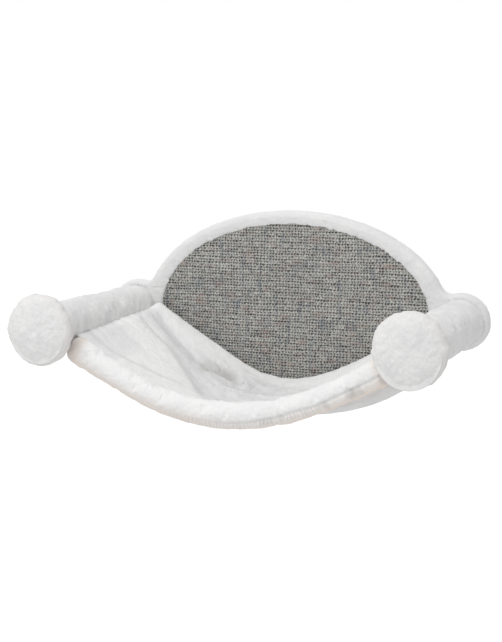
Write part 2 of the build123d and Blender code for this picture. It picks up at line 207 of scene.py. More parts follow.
def mesh_piece(name: str, points: Array, faces: NDArray[np.int64], uv: Array | None = None,
               marks: dict[str, Array] | None = None) -> bpy.types.Object:
    """Make a smooth-shaded mesh object at the origin from arrays.

    Args:
        name: the piece's name.
        points: (n, 3) places in metres.
        faces: (m, 4) point numbers; a face whose last two numbers are alike is a triangle.
        uv: (n, 2) map places, one for each point.
        marks: n other values by name, one for each point, that the material reads.

    Returns:
        The new object, linked to the scene.
    """
    is_triangle = faces[:, 2] == faces[:, 3]
    corner_counts = np.where(is_triangle, 3, 4)
    keep = np.ones(faces.shape, bool)
    keep[is_triangle, 3] = False
    corners = faces[keep].astype(np.int32)
    mesh = bpy.data.meshes.new(name)
    mesh.vertices.add(len(points))
    mesh.vertices.foreach_set("co", points.astype(np.float32).ravel())
    mesh.loops.add(len(corners))
    mesh.loops.foreach_set("vertex_index", corners)
    mesh.polygons.add(len(faces))
    starts = np.concatenate([[0], np.cumsum(corner_counts)[:-1]]).astype(np.int32)
    mesh.polygons.foreach_set("loop_start", starts)
    mesh.polygons.foreach_set("use_smooth", np.ones(len(faces), bool))
    if uv is not None:
        layer = mesh.uv_layers.new(name="cloth")
        layer.data.foreach_set("uv", uv[corners].astype(np.float32).ravel())
    for mark, values in (marks or {}).items():
        attribute = mesh.attributes.new(mark, "FLOAT", "POINT")
        attribute.data.foreach_set("value", values.astype(np.float32).ravel())
    mesh.update(calc_edges=True)
    mesh.validate()
    piece = bpy.data.objects.new(name, mesh)
    bpy.context.scene.collection.objects.link(piece)
    return piece


def grid_normals(points: Array, wrap_rows: bool = False, wrap_columns: bool = False) -> Array:
    """Unit normals of a grid surface: the cross product of its differences along rows and columns."""
    def along(axis: int, wrap: bool) -> Array:
        if wrap:
            return np.roll(points, -1, axis) - np.roll(points, 1, axis)
        return np.gradient(points, axis=axis)

    normal = np.cross(along(0, wrap_rows), along(1, wrap_columns))
    return normal / np.maximum(np.linalg.norm(normal, axis=-1, keepdims=True), 1e-12)


def closed_tube(name: str, points: Array, uv: Array, marks: dict[str, Array],
                hollow: Array | None = None) -> bpy.types.Object:
    """A tube whose columns run round it and whose two ends are drawn to a point in their middle.

    Args:
        name: the piece's name.
        points: (rows, columns, 3) grid, rows along the tube, ordered so that its faces point outwards.
        uv: (rows, columns, 2) map places.
        marks: (rows, columns) values by name.
        hollow: a second grid, ordered the other way round, for the wall of a space inside.

    Returns:
        The new object.
    """
    all_points, all_faces = capped(points)
    layers = {k: with_middles(v.reshape(*points.shape[:2], -1)) for k, v in {"uv": uv, **marks}.items()}
    if hollow is not None:
        wall_points, wall_faces = capped(hollow)
        all_faces = np.concatenate([all_faces, wall_faces + len(all_points)])
        all_points = np.concatenate([all_points, wall_points])
        layers = {k: np.pad(v, ((0, len(wall_points)), (0, 0))) for k, v in layers.items()}
    return mesh_piece(name, all_points, all_faces, layers.pop("uv"), layers)


def with_middles(values: Array) -> Array:
    """A grid's values in one list, followed by the mean of its first row and that of its last."""
    return np.concatenate([values.reshape(-1, values.shape[-1]), values[:1].mean(1), values[-1:].mean(1)])


def capped(points: Array) -> tuple[Array, NDArray[np.int64]]:
    """Points and faces of a tube's grid with a middle point and a fan of triangles on each end."""
    rows, columns = points.shape[:2]
    around = np.arange(columns)
    after = (around + 1) % columns
    first = np.full(columns, rows * columns)
    last_row = (rows - 1) * columns
    fans = (first, after, around), (first + 1, last_row + around, last_row + after)
    faces = [grid_faces(rows, columns, False, True), *(np.stack([a, b, c, c], 1) for a, b, c in fans)]
    return with_middles(points), np.concatenate(faces)


def closed_loops(name: str, points: Array, uv: Array, marks: dict[str, Array]) -> bpy.types.Object:
    """A closed skin whose rows and columns both run round: a cloth with its face, its edges and its back.

    Args:
        name: the piece's name.
        points: (rows, columns, 3) grid, ordered so that its faces point outwards.
        uv: (rows, columns, 2) map places.
        marks: (rows, columns) values by name.

    Returns:
        The new object.
    """
    faces = grid_faces(*points.shape[:2], True, True)
    return mesh_piece(name, points.reshape(-1, 3), faces, uv.reshape(-1, 2), marks)


def two_faced_cloth(name: str, face: Array, thickness: float, uv: Array, marks: dict[str, Array],
                    rim: Rim) -> bpy.types.Object:
    """A closed cloth: a face grid, the same grid moved inwards along its normals, and a rim between them.

    Args:
        name: the piece's name.
        face: (rows, columns, 3) grid of the outer face, with normals that point outwards.
        thickness: how far the inner face lies behind the outer one.
        uv: (rows, columns, 2) map places.
        marks: (rows, columns) values by name.
        rim: round bulges the edges outwards by half the thickness, square doesn't.

    Returns:
        The new object.
    """
    rows, columns = face.shape[:2]
    normal = grid_normals(face)
    count = rows * columns
    loop = border_loop(rows, columns)
    after = np.roll(loop, -1)
    front = grid_faces(rows, columns, False, False)
    flat_face, flat_normal = face.reshape(-1, 3), normal.reshape(-1, 3)
    points = [flat_face, flat_face - flat_normal * thickness]
    faces = [front, front[:, ::-1] + count]
    source = [np.arange(count)] * 2
    if rim is Rim.ROUND:
        tangent = flat_face[after] - flat_face[np.roll(loop, 1)]
        outward = np.cross(tangent, flat_normal[loop])
        outward /= np.maximum(np.linalg.norm(outward, axis=1, keepdims=True), 1e-12)
        points.append(flat_face[loop] + (outward - flat_normal[loop]) * thickness / 2)
        ring = 2 * count + np.arange(len(loop))
        ring_after = np.roll(ring, -1)
        faces += [np.stack([loop, ring, ring_after, after], 1),
                  np.stack([ring, loop + count, after + count, ring_after], 1)]
        source.append(loop)
    else:
        faces.append(np.stack([loop, loop + count, after + count, after], 1))
    layers = {k: v.reshape(count, -1)[np.concatenate(source)] for k, v in {"uv": uv, **marks}.items()}
    return mesh_piece(name, np.concatenate(points), np.concatenate(faces), layers.pop("uv"), layers)


def border_loop(rows: int, columns: int) -> NDArray[np.int64]:
    """The point numbers round the edge of a grid, in the order in which its faces turn."""
    numbers = np.arange(rows * columns).reshape(rows, columns)
    return np.concatenate([numbers[:-1, 0], numbers[-1, :-1], numbers[:0:-1, -1], numbers[0, :0:-1]])


# Cloth simulation

@dataclass(frozen=True)
class Stuffing:
    """How soft padding and slack cloth change a form: pressure from inside, and cloth that is a little too big.

    Growth is the cloth's surplus as a share of its size, hold the least share by which a point is held
    at its place, and most the longest move in metres.
    """

    pressure: float = 20.0
    growth: float = 0.05
    hold: float = 0.25
    most: float = 0.003
    bending: float = 30.0
    mass: float = 0.05
    frames: int = 20

    def moves(self, points: Array, held: Array) -> Array:
        """Simulate a coarse tube of cloth and return how far each of its points moved.

        Every point is held a little at its place, so that wrinkles form where they stand and the form
        stays. No gravity acts.

        Args:
            points: (rows, columns, 3) coarse grid whose columns run round the tube.
            held: (rows, columns) from 0 to 1, how firmly a seam or an edge holds each point.

        Returns:
            (rows, columns, 3) moves in metres, none longer than the most that is allowed.
        """
        piece = mesh_piece("cloth_draft", points.reshape(-1, 3), grid_faces(*points.shape[:2], False, True))
        group = piece.vertex_groups.new(name="held")
        firmness = np.round(np.maximum(held, self.hold), 2).ravel()
        for level in np.unique(firmness):
            group.add(np.flatnonzero(firmness == level).tolist(), float(level), "REPLACE")
        cloth = piece.modifiers.new("cloth", "CLOTH")
        settings = cloth.settings
        settings.mass = self.mass
        settings.bending_stiffness = self.bending
        settings.vertex_group_mass = "held"
        settings.use_pressure = True
        settings.uniform_pressure_force = self.pressure
        settings.shrink_min = -self.growth
        settings.effector_weights.gravity = 0.0
        cloth.collision_settings.use_collision = False
        cloth.point_cache.frame_start, cloth.point_cache.frame_end = 1, self.frames
        scene = bpy.context.scene
        for frame_number in range(1, self.frames + 1):
            scene.frame_set(frame_number)
        evaluated = piece.evaluated_get(bpy.context.evaluated_depsgraph_get())
        moved = np.empty(points.size, np.float32)
        evaluated.data.vertices.foreach_get("co", moved)
        scene.frame_set(1)
        bpy.data.objects.remove(piece)
        move = moved.reshape(points.shape).astype(float) - points
        length = np.linalg.norm(move, axis=-1, keepdims=True)
        log.info("cloth moved %.2f mm on average", 1000 * length.mean())
        return move * np.minimum(1.0, self.most / np.maximum(length, 1e-9))

    def puffed(self, points: Array, held: Array, every: int) -> Array:
        """A fine tube with the moves of a coarse one added, on cubic curves between its points.

        Args:
            points: (rows, columns, 3) fine grid whose columns run round the tube.
            held: (rows, columns) how firmly each point is held.
            every: one coarse point for so many columns, and about as many rows.

        Returns:
            The moved grid.
        """
        rows, columns = points.shape[:2]
        picked = np.round(np.linspace(0, rows - 1, (rows - 1) // every + 1)).astype(int)
        move = self.moves(points[picked, ::every], held[picked, ::every])
        move = cubic_along(move, np.interp(np.arange(rows), picked, np.arange(len(picked))), False)
        move = cubic_along(np.moveaxis(move, 1, 0), np.arange(columns) / every, True)
        return points + np.moveaxis(move, 0, 1)


# Finishes

Socket = bpy.types.NodeSocket
Colour = Triple


class NodeKit:
    """Short ways to add nodes to a node tree."""

    def __init__(self, tree: bpy.types.NodeTree) -> None:
        """Take a tree.

        Args:
            tree: the node tree of a material or a world.
        """
        self.nodes, self.links = tree.nodes, tree.links

    def feed(self, socket: Socket, value: Socket | Colour | float) -> None:
        """Join an output to an input, or set the input to a colour, three numbers or one number."""
        if isinstance(value, bpy.types.NodeSocket):
            self.links.new(value, socket)
        else:
            socket.default_value = (*value, 1.0) if socket.type == "RGBA" else value

    def node(self, kind: str, **inputs: Socket | Colour | float) -> bpy.types.Node:
        """Add a node and feed its inputs, named with _ for a space."""
        node = self.nodes.new(f"ShaderNode{kind}")
        for name, value in inputs.items():
            self.feed(node.inputs[name.replace("_", " ")], value)
        return node

    def calc(self, operation: str, *values: Socket | float) -> Socket:
        """The result of a Math node."""
        node = self.node("Math")
        node.operation = operation
        for socket, value in zip(node.inputs, values):
            self.feed(socket, value)
        return node.outputs["Value"]

    def ramp(self, value: Socket, low: float, high: float, to_low: float = 0.0, to_high: float = 1.0) -> Socket:
        """Map a value from one range to another, clamped."""
        return self.node("MapRange", Value=value, From_Min=low, From_Max=high,
                         To_Min=to_low, To_Max=to_high).outputs["Result"]

    def seen(self) -> Socket:
        """1 for the camera's rays, gloss and glass, and 0 for light."""
        rays = self.node("LightPath").outputs
        glossy_or_camera = self.calc("MAXIMUM", rays["Is Camera Ray"], rays["Is Glossy Ray"])
        return self.calc("MAXIMUM", glossy_or_camera, rays["Is Transmission Ray"])


class NodeSheet(NodeKit):
    """A new material whose surface is one Principled shader."""

    def __init__(self, name: str) -> None:
        """Start the material.

        Args:
            name: the material's name.
        """
        self.material = bpy.data.materials.new(name)
        self.material.use_nodes = True
        super().__init__(self.material.node_tree)
        self.shader = self.nodes["Principled BSDF"]
        self.places = self.node("TexCoord").outputs["Object"]

    def mapped(self, scale: Triple) -> Socket:
        """Object coordinates, stretched by a scale for each axis."""
        return self.node("Mapping", Vector=self.places, Scale=scale).outputs["Vector"]

    def noise(self, size: float, detail: float = 2.0, rough: float = 0.5, places: Socket | None = None) -> Socket:
        """Noise whose patches are about the given size in metres, or in the units of the places given."""
        return self.node("TexNoise", Vector=places or self.places, Scale=1.0 / size, Detail=detail,
                         Roughness=rough).outputs["Fac"]

    def mark(self, name: str) -> Socket:
        """A value that the mesh carries at its points."""
        node = self.node("Attribute")
        node.attribute_name = name
        return node.outputs["Fac"]

    def split(self, vector: Socket) -> list[Socket]:
        """The three numbers of a vector."""
        return list(self.node("SeparateXYZ", Vector=vector).outputs)

    def sum(self, *values: tuple[Socket, float]) -> Socket:
        """The sum of values, each times its own weight."""
        total: Socket | float = 0.0
        for value, weight in values:
            total = self.calc("MULTIPLY_ADD", value, weight, total)
        return total

    def wave(self, value: Socket) -> Socket:
        """A cosine wave from 0 at whole numbers to 1 midway between them."""
        return self.ramp(self.calc("COSINE", self.calc("MULTIPLY", value, 2 * math.pi)), 1.0, -1.0)

    def blend(self, share: Socket, first: Socket | Colour, second: Socket | Colour) -> Socket:
        """A colour between two colours."""
        node = self.node("Mix", Factor=share)
        node.data_type = "RGBA"
        self.feed(node.inputs[6], first)
        self.feed(node.inputs[7], second)
        return node.outputs[2]

    def bump(self, height: Socket, depth: float) -> None:
        """Raise the surface by a height times a depth in metres."""
        self.feed(self.shader.inputs["Normal"], self.node("Bump", Height=height, Distance=depth).outputs["Normal"])

    def finish(self, colour: Socket | Colour, roughness: Socket | float, **constants: float) -> bpy.types.Material:
        """Set the colour, the roughness and the shader's own numbers, and return the material.

        Args:
            colour: a socket, or three numbers.
            roughness: from 0, a mirror, to 1, dull, or a socket.
            constants: other inputs of the shader by name, with _ for a space.

        Returns:
            The material.
        """
        for name, value in {"Base Color": colour, "Roughness": roughness, **constants}.items():
            self.feed(self.shader.inputs[name.replace("_", " ")], value)
        return self.material


@dataclass(frozen=True)
class Plush:
    """Short soft white plush: a fine grain of fibre ends over soft clumps, and greyer patches of painted shade, broken
    up by noise, where the nap mark is set.
    """

    name: str = "plush"
    light: Colour = (0.87, 0.868, 0.86)
    dark: Colour = (0.76, 0.762, 0.765)
    # root: painted shade for creases and grooves, where the pile parts down to its roots
    root: Colour = (0.50, 0.49, 0.48)
    # brushed: the greyer tone of the painted shade that the nap mark lays on
    brushed_shade: Colour = (0.755, 0.755, 0.76)
    # warm: a warm tint, partly the cloth's own beige and partly painted warm shade on the discs' sides and the roll's
    # ends
    warm: Colour = (0.85, 0.785, 0.74)
    fibre: float = 0.0008
    clump: float = 0.0032
    patch: float = 0.015
    depth: float = 0.0006

    def material(self) -> bpy.types.Material:
        """Build the plush material. It reads three marks of the mesh.

        The mark crease paints shade, darkening it towards the roots in creases; nap greys it with painted shade,
        broken up by noise; and warm tints it, in places as painted warm shade.
        A mark that a piece doesn't carry counts as 0.
        """
        sheet = NodeSheet(self.name)
        fibres = sheet.noise(self.fibre, 3.0, 0.7)
        clumps = sheet.noise(self.clump, 2.0, 0.6)
        patches = sheet.noise(self.patch, 2.0, 0.55)
        tone = sheet.sum((fibres, 0.35), (clumps, 0.30), (patches, 0.35))
        pile = sheet.blend(sheet.ramp(tone, 0.36, 0.60), self.dark, self.light)
        # Painted shade: the nap mark greys the pile, broken up by the noise patches.
        nap_and_shade = sheet.mark("nap_and_shade")
        brushed_shade = sheet.ramp(sheet.sum((nap_and_shade, 1.0), (patches, 0.5), (clumps, 0.3)), 0.45, 1.35)
        pile = sheet.blend(sheet.calc("MULTIPLY", brushed_shade, sheet.ramp(nap_and_shade, 0.0, 0.3)), pile, self.brushed_shade)
        pile = sheet.blend(sheet.mark("warm"), pile, self.warm)
        colour = sheet.blend(sheet.mark("crease_shade"), pile, self.root)
        sheet.bump(sheet.sum((fibres, 0.45), (clumps, 0.7), (patches, 0.6)), self.depth)
        return sheet.finish(colour, 0.95, Sheen_Weight=0.25, Sheen_Roughness=0.5, Specular_IOR_Level=0.15)


@dataclass(frozen=True)
class Sisal:
    """Grey sisal yarn in an open weave: ribs across, threads over them with painted highlights, and painted dark shade
    in the hole of each mesh.

    The two tints lie in streaks, warm ones along the rows and cool ones along the columns.
    """

    # light and middle span the weave's tone from painted highlight on the raised crossings to painted shade in the
    # grooves and under-passes; gap is painted dark shade in the holes.
    light: Colour = (0.62, 0.615, 0.575)
    middle: Colour = (0.150, 0.149, 0.137)
    gap: Colour = (0.055, 0.055, 0.054)
    warm: Colour = (0.38, 0.29, 0.26)
    cool: Colour = (0.22, 0.25, 0.28)
    tint_long: float = 0.024
    tint_high: float = 0.008

    def material(self) -> bpy.types.Material:
        """Build the sisal material. Its map places count columns and rows of the weave.

        A hole is where a cosine wave along the row and one along the column are both high; it is painted dark as
        shade. Every second row is shifted and gapes more. White noise on the whole numbers shifts each hole and makes
        it wider or narrower than its neighbours, and fine noise frays its edge. The threads over the ribs get a
        painted highlight, out of step from rib to rib, and the grooves between the rows get painted shade.
        """
        sheet = NodeSheet("sisal_yarn")
        map_places = sheet.node("UVMap")
        map_places.uv_map = "cloth"
        column, row, _ = sheet.split(map_places.outputs["UV"])
        mesh_number = sheet.node("CombineXYZ", X=sheet.calc("FLOOR", column), Y=sheet.calc("FLOOR", row))
        chance = sheet.node("TexWhiteNoise", Vector=mesh_number.outputs["Vector"])
        chance_along, chance_up, _ = sheet.split(chance.outputs["Color"])
        fibre = sheet.noise(0.0012, 3.0, 0.75)
        frayed = sheet.calc("SUBTRACT", sheet.noise(0.0021, 2.0, 0.6), 0.5)
        lift = sheet.sum((chance_up, 0.20), (frayed, 0.7))
        threads = sheet.sum((column, 1.0), (chance_along, 0.42), (frayed, 0.9))
        alternate = sheet.wave(sheet.calc("MULTIPLY_ADD", row, 0.5, -0.25))
        rib = sheet.wave(sheet.calc("MULTIPLY", row, 0.5))
        row_gap = sheet.calc("MULTIPLY", sheet.wave(sheet.calc("ADD", row, lift)),
                             sheet.ramp(alternate, 0.0, 1.0, 0.80, 1.10))
        column_gap = sheet.wave(sheet.calc("ADD", sheet.sum((threads, 1.0), (alternate, 0.3)), -0.15))
        open_mesh = sheet.calc("MULTIPLY", row_gap, sheet.calc("POWER", column_gap, 0.9))
        # Painted dark shade in each hole.
        hole = sheet.ramp(sheet.sum((open_mesh, 1.0), (chance.outputs["Value"], 0.50), (fibre, 0.55)), 0.74, 1.32)
        # Painted highlight on the crossings over the ribs and painted shade in the grooves, over the yarn's own random
        # tone.
        over = sheet.wave(sheet.calc("ADD", sheet.sum((threads, 1.0), (rib, 0.36)), 0.32))
        over = sheet.calc("MULTIPLY", over, sheet.ramp(row_gap, 0.0, 1.0, 1.0, 0.45))
        tone_and_highlight = sheet.sum((row_gap, -0.10), (over, 0.50), (fibre, 1.3), (sheet.mark("yarn"), 0.50))
        tinted = sheet.blend(sheet.ramp(tone_and_highlight, 0.50, 1.50), self.middle, self.light)
        for tint, wide, high in ((self.warm, self.tint_long, self.tint_high),
                                 (self.cool, self.tint_high, self.tint_long)):
            streaks = sheet.noise(1.0, 2.0, 0.5, sheet.mapped((1.0 / wide, 1.0, 1.0 / high)))
            tinted = sheet.blend(sheet.ramp(streaks, 0.52, 0.70, 0.0, 0.62), tinted, tint)
        sheet.bump(sheet.sum((fibre, 0.5), (hole, -1.0)), 0.0005)
        return sheet.finish(sheet.blend(hole, tinted, self.gap), 0.85, Specular_IOR_Level=0.25)


@dataclass(frozen=True)
class WovenLining:
    """Thin plain-woven lining in a warm off-white, with painted shade in its folds. Blotch and thread are patch sizes.
    """

    light: Colour = (0.93, 0.88, 0.84)
    dark: Colour = (0.84, 0.785, 0.745)
    # fold: painted shade in the lining's gathers
    fold: Colour = (0.60, 0.53, 0.48)
    thread: float = 0.0007
    blotch: float = 0.02

    def material(self) -> bpy.types.Material:
        """Build the lining material: two sets of fine threads at right angles, a soft blotchy tone, and painted shade
        in the folds.
        """
        sheet = NodeSheet("lining")
        across = sheet.noise(1.0, 1.0, 0.5, sheet.mapped((1.0 / self.thread, 60.0, 60.0)))
        along = sheet.noise(1.0, 1.0, 0.5, sheet.mapped((60.0, 1.0 / self.thread, 60.0)))
        blotch = sheet.noise(self.blotch)
        tone = sheet.ramp(sheet.sum((across, 0.4), (along, 0.4), (blotch, 0.3)), 0.4, 0.7)
        colour = sheet.blend(sheet.mark("crease_shade"), sheet.blend(tone, self.dark, self.light), self.fold)
        sheet.bump(sheet.sum((across, 0.5), (along, 0.5)), 0.0003)
        return sheet.finish(colour, 0.8, Sheen_Weight=0.15, Sheen_Roughness=0.5, Specular_IOR_Level=0.25)


@dataclass(frozen=True)
class RawWood:
    """Raw wood-based board, turned wood or cardboard: a fine grain along one axis over soft blotches."""

    name: str
    light: Colour
    dark: Colour
    grain: Triple
    speck: float = 0.0012
    blotch: float = 0.05
    depth: float = 0.0002

    def material(self) -> bpy.types.Material:
        """Build the material from streaked noise, with the grain scale for each axis."""
        sheet = NodeSheet(self.name)
        streaks = sheet.noise(1.0, 4.0, 0.6, sheet.mapped(self.grain))
        specks = sheet.noise(self.speck, 3.0, 0.7)
        blotch = sheet.noise(self.blotch)
        tone = sheet.ramp(sheet.sum((streaks, 0.5), (specks, 0.3), (blotch, 0.25)), 0.38, 0.68)
        sheet.bump(sheet.sum((streaks, 0.5), (specks, 0.5)), self.depth)
        return sheet.finish(sheet.blend(tone, self.dark, self.light), 0.85, Specular_IOR_Level=0.3)


@dataclass(frozen=True)
class ZincSteel:
    """Bright zinc-plated steel, a little cloudy, with fine scratches."""

    light: Colour = (0.66, 0.67, 0.68)
    dark: Colour = (0.52, 0.53, 0.55)

    def material(self) -> bpy.types.Material:
        """Build the metal material with a cloudy colour and roughness."""
        sheet = NodeSheet("zinc_steel")
        cloud = sheet.noise(0.004, 3.0)
        scratch = sheet.noise(1.0, 2.0, 0.6, sheet.mapped((300.0, 2500.0, 900.0)))
        sheet.bump(scratch, 0.00003)
        colour = sheet.blend(sheet.ramp(cloud, 0.35, 0.65), self.dark, self.light)
        return sheet.finish(colour, sheet.ramp(cloud, 0.3, 0.7, 0.28, 0.45), Metallic=1.0)


PLUSH = Plush()
# A copy of the white plush made lighter: painted light for the brighter bed, hem and roll.
LIT_HAMMOCK_PLUSH = Plush("lit_hammock_plush", light=(0.915, 0.913, 0.905), dark=(0.83, 0.832, 0.835),
                      warm=(0.86, 0.77, 0.70), brushed_shade=(0.80, 0.80, 0.805))
SISAL = Sisal()
LINING = WovenLining()
FIBREBOARD = RawWood("fibreboard", (0.62, 0.47, 0.31), (0.47, 0.34, 0.22), (300.0, 300.0, 300.0))
TURNED_WOOD = RawWood("turned_wood", (0.72, 0.56, 0.38), (0.55, 0.40, 0.25), (500.0, 30.0, 500.0))
CARDBOARD = RawWood("cardboard", (0.56, 0.43, 0.29), (0.43, 0.32, 0.21), (80.0, 600.0, 80.0))
WADDING = RawWood("wadding", (0.88, 0.88, 0.87), (0.78, 0.78, 0.78), (400.0, 400.0, 400.0))
ZINC = ZincSteel()
Finish = Plush | Sisal | WovenLining | RawWood | ZincSteel


# Shapes of the object

def dress(piece: bpy.types.Object, finish: Finish, node: str) -> None:
    """Give a new piece its material, hide the solid that it stands for, and make it ride.

    Args:
        piece: the new piece.
        finish: the finish of its whole surface.
        node: the solid that it replaces.
    """
    piece.data.materials.append(finish.material())
    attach(piece, "root")
    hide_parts(node)
    log.info("%s: %d faces", piece.name, len(piece.data.polygons))


def add_pile(points: Array, normal: Array, height: Array | float, seed: int) -> Array:
    """Push a surface in and out as short pile does: broad soft clumps with small tufts on them.

    Args:
        points: (..., 3) places.
        normal: (..., 3) unit normals.
        height: the clumps' height in metres, one number or one for each place.
        seed: picks another pattern.

    Returns:
        The moved places.
    """
    clumps = layered_noise(points, 0.010, 2, seed)
    tufts = layered_noise(points, 0.0030, 1, seed + 10)
    return points + normal * (height * (0.65 * clumps + 0.35 * tufts))[..., None]


@dataclass(frozen=True)
class BoardOutline:
    """The board's outline: an oval and two round lobes, joined by small hollow arcs."""

    arm_x: float
    lobe_radius: float
    half_width: float
    half_height: float
    blend_radius: float = 0.016

    def quarter(self) -> Array:
        """Points from the lobe's far end to the oval's top: lobe arc, hollow arc, oval arc.

        The hollow arc's middle lies its own radius off the oval. Of all such middles it is the one
        whose distance from the lobe's middle is the sum of the two radii.
        """
        turn = np.linspace(0.0, math.pi / 2, 6001)
        oval = np.stack([self.half_width * np.cos(turn), self.half_height * np.sin(turn)], 1)
        off = np.stack([self.half_height * np.cos(turn), self.half_width * np.sin(turn)], 1)
        off /= np.linalg.norm(off, axis=1, keepdims=True)
        middles = oval + off * self.blend_radius
        lobe_middle = np.array([self.arm_x, 0.0])
        gaps = np.linalg.norm(middles - lobe_middle, axis=1) - self.lobe_radius - self.blend_radius
        touch = int(np.argmin(np.abs(gaps)))
        middle = middles[touch]
        to_lobe = (lobe_middle - middle) / np.linalg.norm(lobe_middle - middle)
        lobe_end = math.atan2(-to_lobe[1], -to_lobe[0])
        lobe_turn = np.linspace(0.0, lobe_end, 200)
        hollow_turn = np.linspace(math.atan2(*to_lobe[::-1]) % (2 * math.pi),
                                  math.atan2(*(-off[touch])[::-1]) % (2 * math.pi), 60)[1:-1]
        lobe = lobe_middle + self.lobe_radius * np.stack([np.cos(lobe_turn), np.sin(lobe_turn)], 1)
        hollow = middle + self.blend_radius * np.stack([np.cos(hollow_turn), np.sin(hollow_turn)], 1)
        return np.concatenate([lobe, hollow, oval[touch::10]])

    def whole(self) -> Array:
        """The closed outline, with its first point again at the end."""
        quarter = self.quarter()
        half = np.concatenate([quarter, quarter[-2::-1] * [-1, 1]])
        return np.concatenate([half, half[-2::-1] * [1, -1]])

    def length(self) -> float:
        """The length of the whole outline."""
        return float(np.linalg.norm(np.diff(self.whole(), axis=0), axis=1).sum())

    def around(self, count: int) -> tuple[Array, Array]:
        """Evenly spaced (x, z) points round the whole outline, and their outward normals."""
        whole = self.whole()
        run = np.concatenate([[0.0], np.cumsum(np.linalg.norm(np.diff(whole, axis=0), axis=1))])
        at = np.linspace(0.0, run[-1], count, endpoint=False)
        points = np.stack([np.interp(at, run, whole[:, 0]), np.interp(at, run, whole[:, 1])], 1)
        tangent = np.roll(points, -3, 0) - np.roll(points, 3, 0)
        normal = np.stack([tangent[:, 1], -tangent[:, 0]], 1)
        return points, normal / np.linalg.norm(normal, axis=1, keepdims=True)


class Solid:
    """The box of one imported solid. Back and front are distances out from the wall."""

    def __init__(self, node: str) -> None:
        """Read the box.

        Args:
            node: the solid's name.
        """
        self.low, self.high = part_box(node)
        self.back, self.front = -self.high.y, -self.low.y
        self.middle_x = (self.low.x + self.high.x) / 2
        self.middle_out = -(self.low.y + self.high.y) / 2
        self.radius = (self.high.z - self.low.z) / 2


class Sizes:
    """Places and sizes that the looks share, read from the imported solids."""

    def __init__(self, sleeve_cloth: float = 0.005, side_border: float = 0.0225) -> None:
        """Read the boxes of the solids.

        Args:
            sleeve_cloth: how far the sleeve reaches beyond the arm's tube.
            side_border: how wide the border is at the two ends of the board's oval.
        """
        self.tube, self.sleeve = Solid("arm_tube_right"), Solid("arm_sleeve_right")
        self.disc, self.core = Solid("end_disc_plush_right"), Solid("end_disc_core_right")
        self.border, self.board = Solid("board_plush_border"), Solid("back_board")
        panel = Solid("sisal_panel")
        self.panel_front = panel.front
        self.panel_half = np.array([panel.high.x, panel.high.z])
        self.arm_x = self.tube.middle_x
        self.sleeve_radius = self.tube.radius + sleeve_cloth
        self.outline = BoardOutline(self.arm_x, self.border.high.x - self.arm_x, panel.high.x + side_border,
                                    self.border.high.z)


def in_frame(plan: Array, out: Array | float) -> Array:
    """Places from (x, z) points and their distances out from the wall."""
    return joined(plan[..., 0], -out, plan[..., 1])


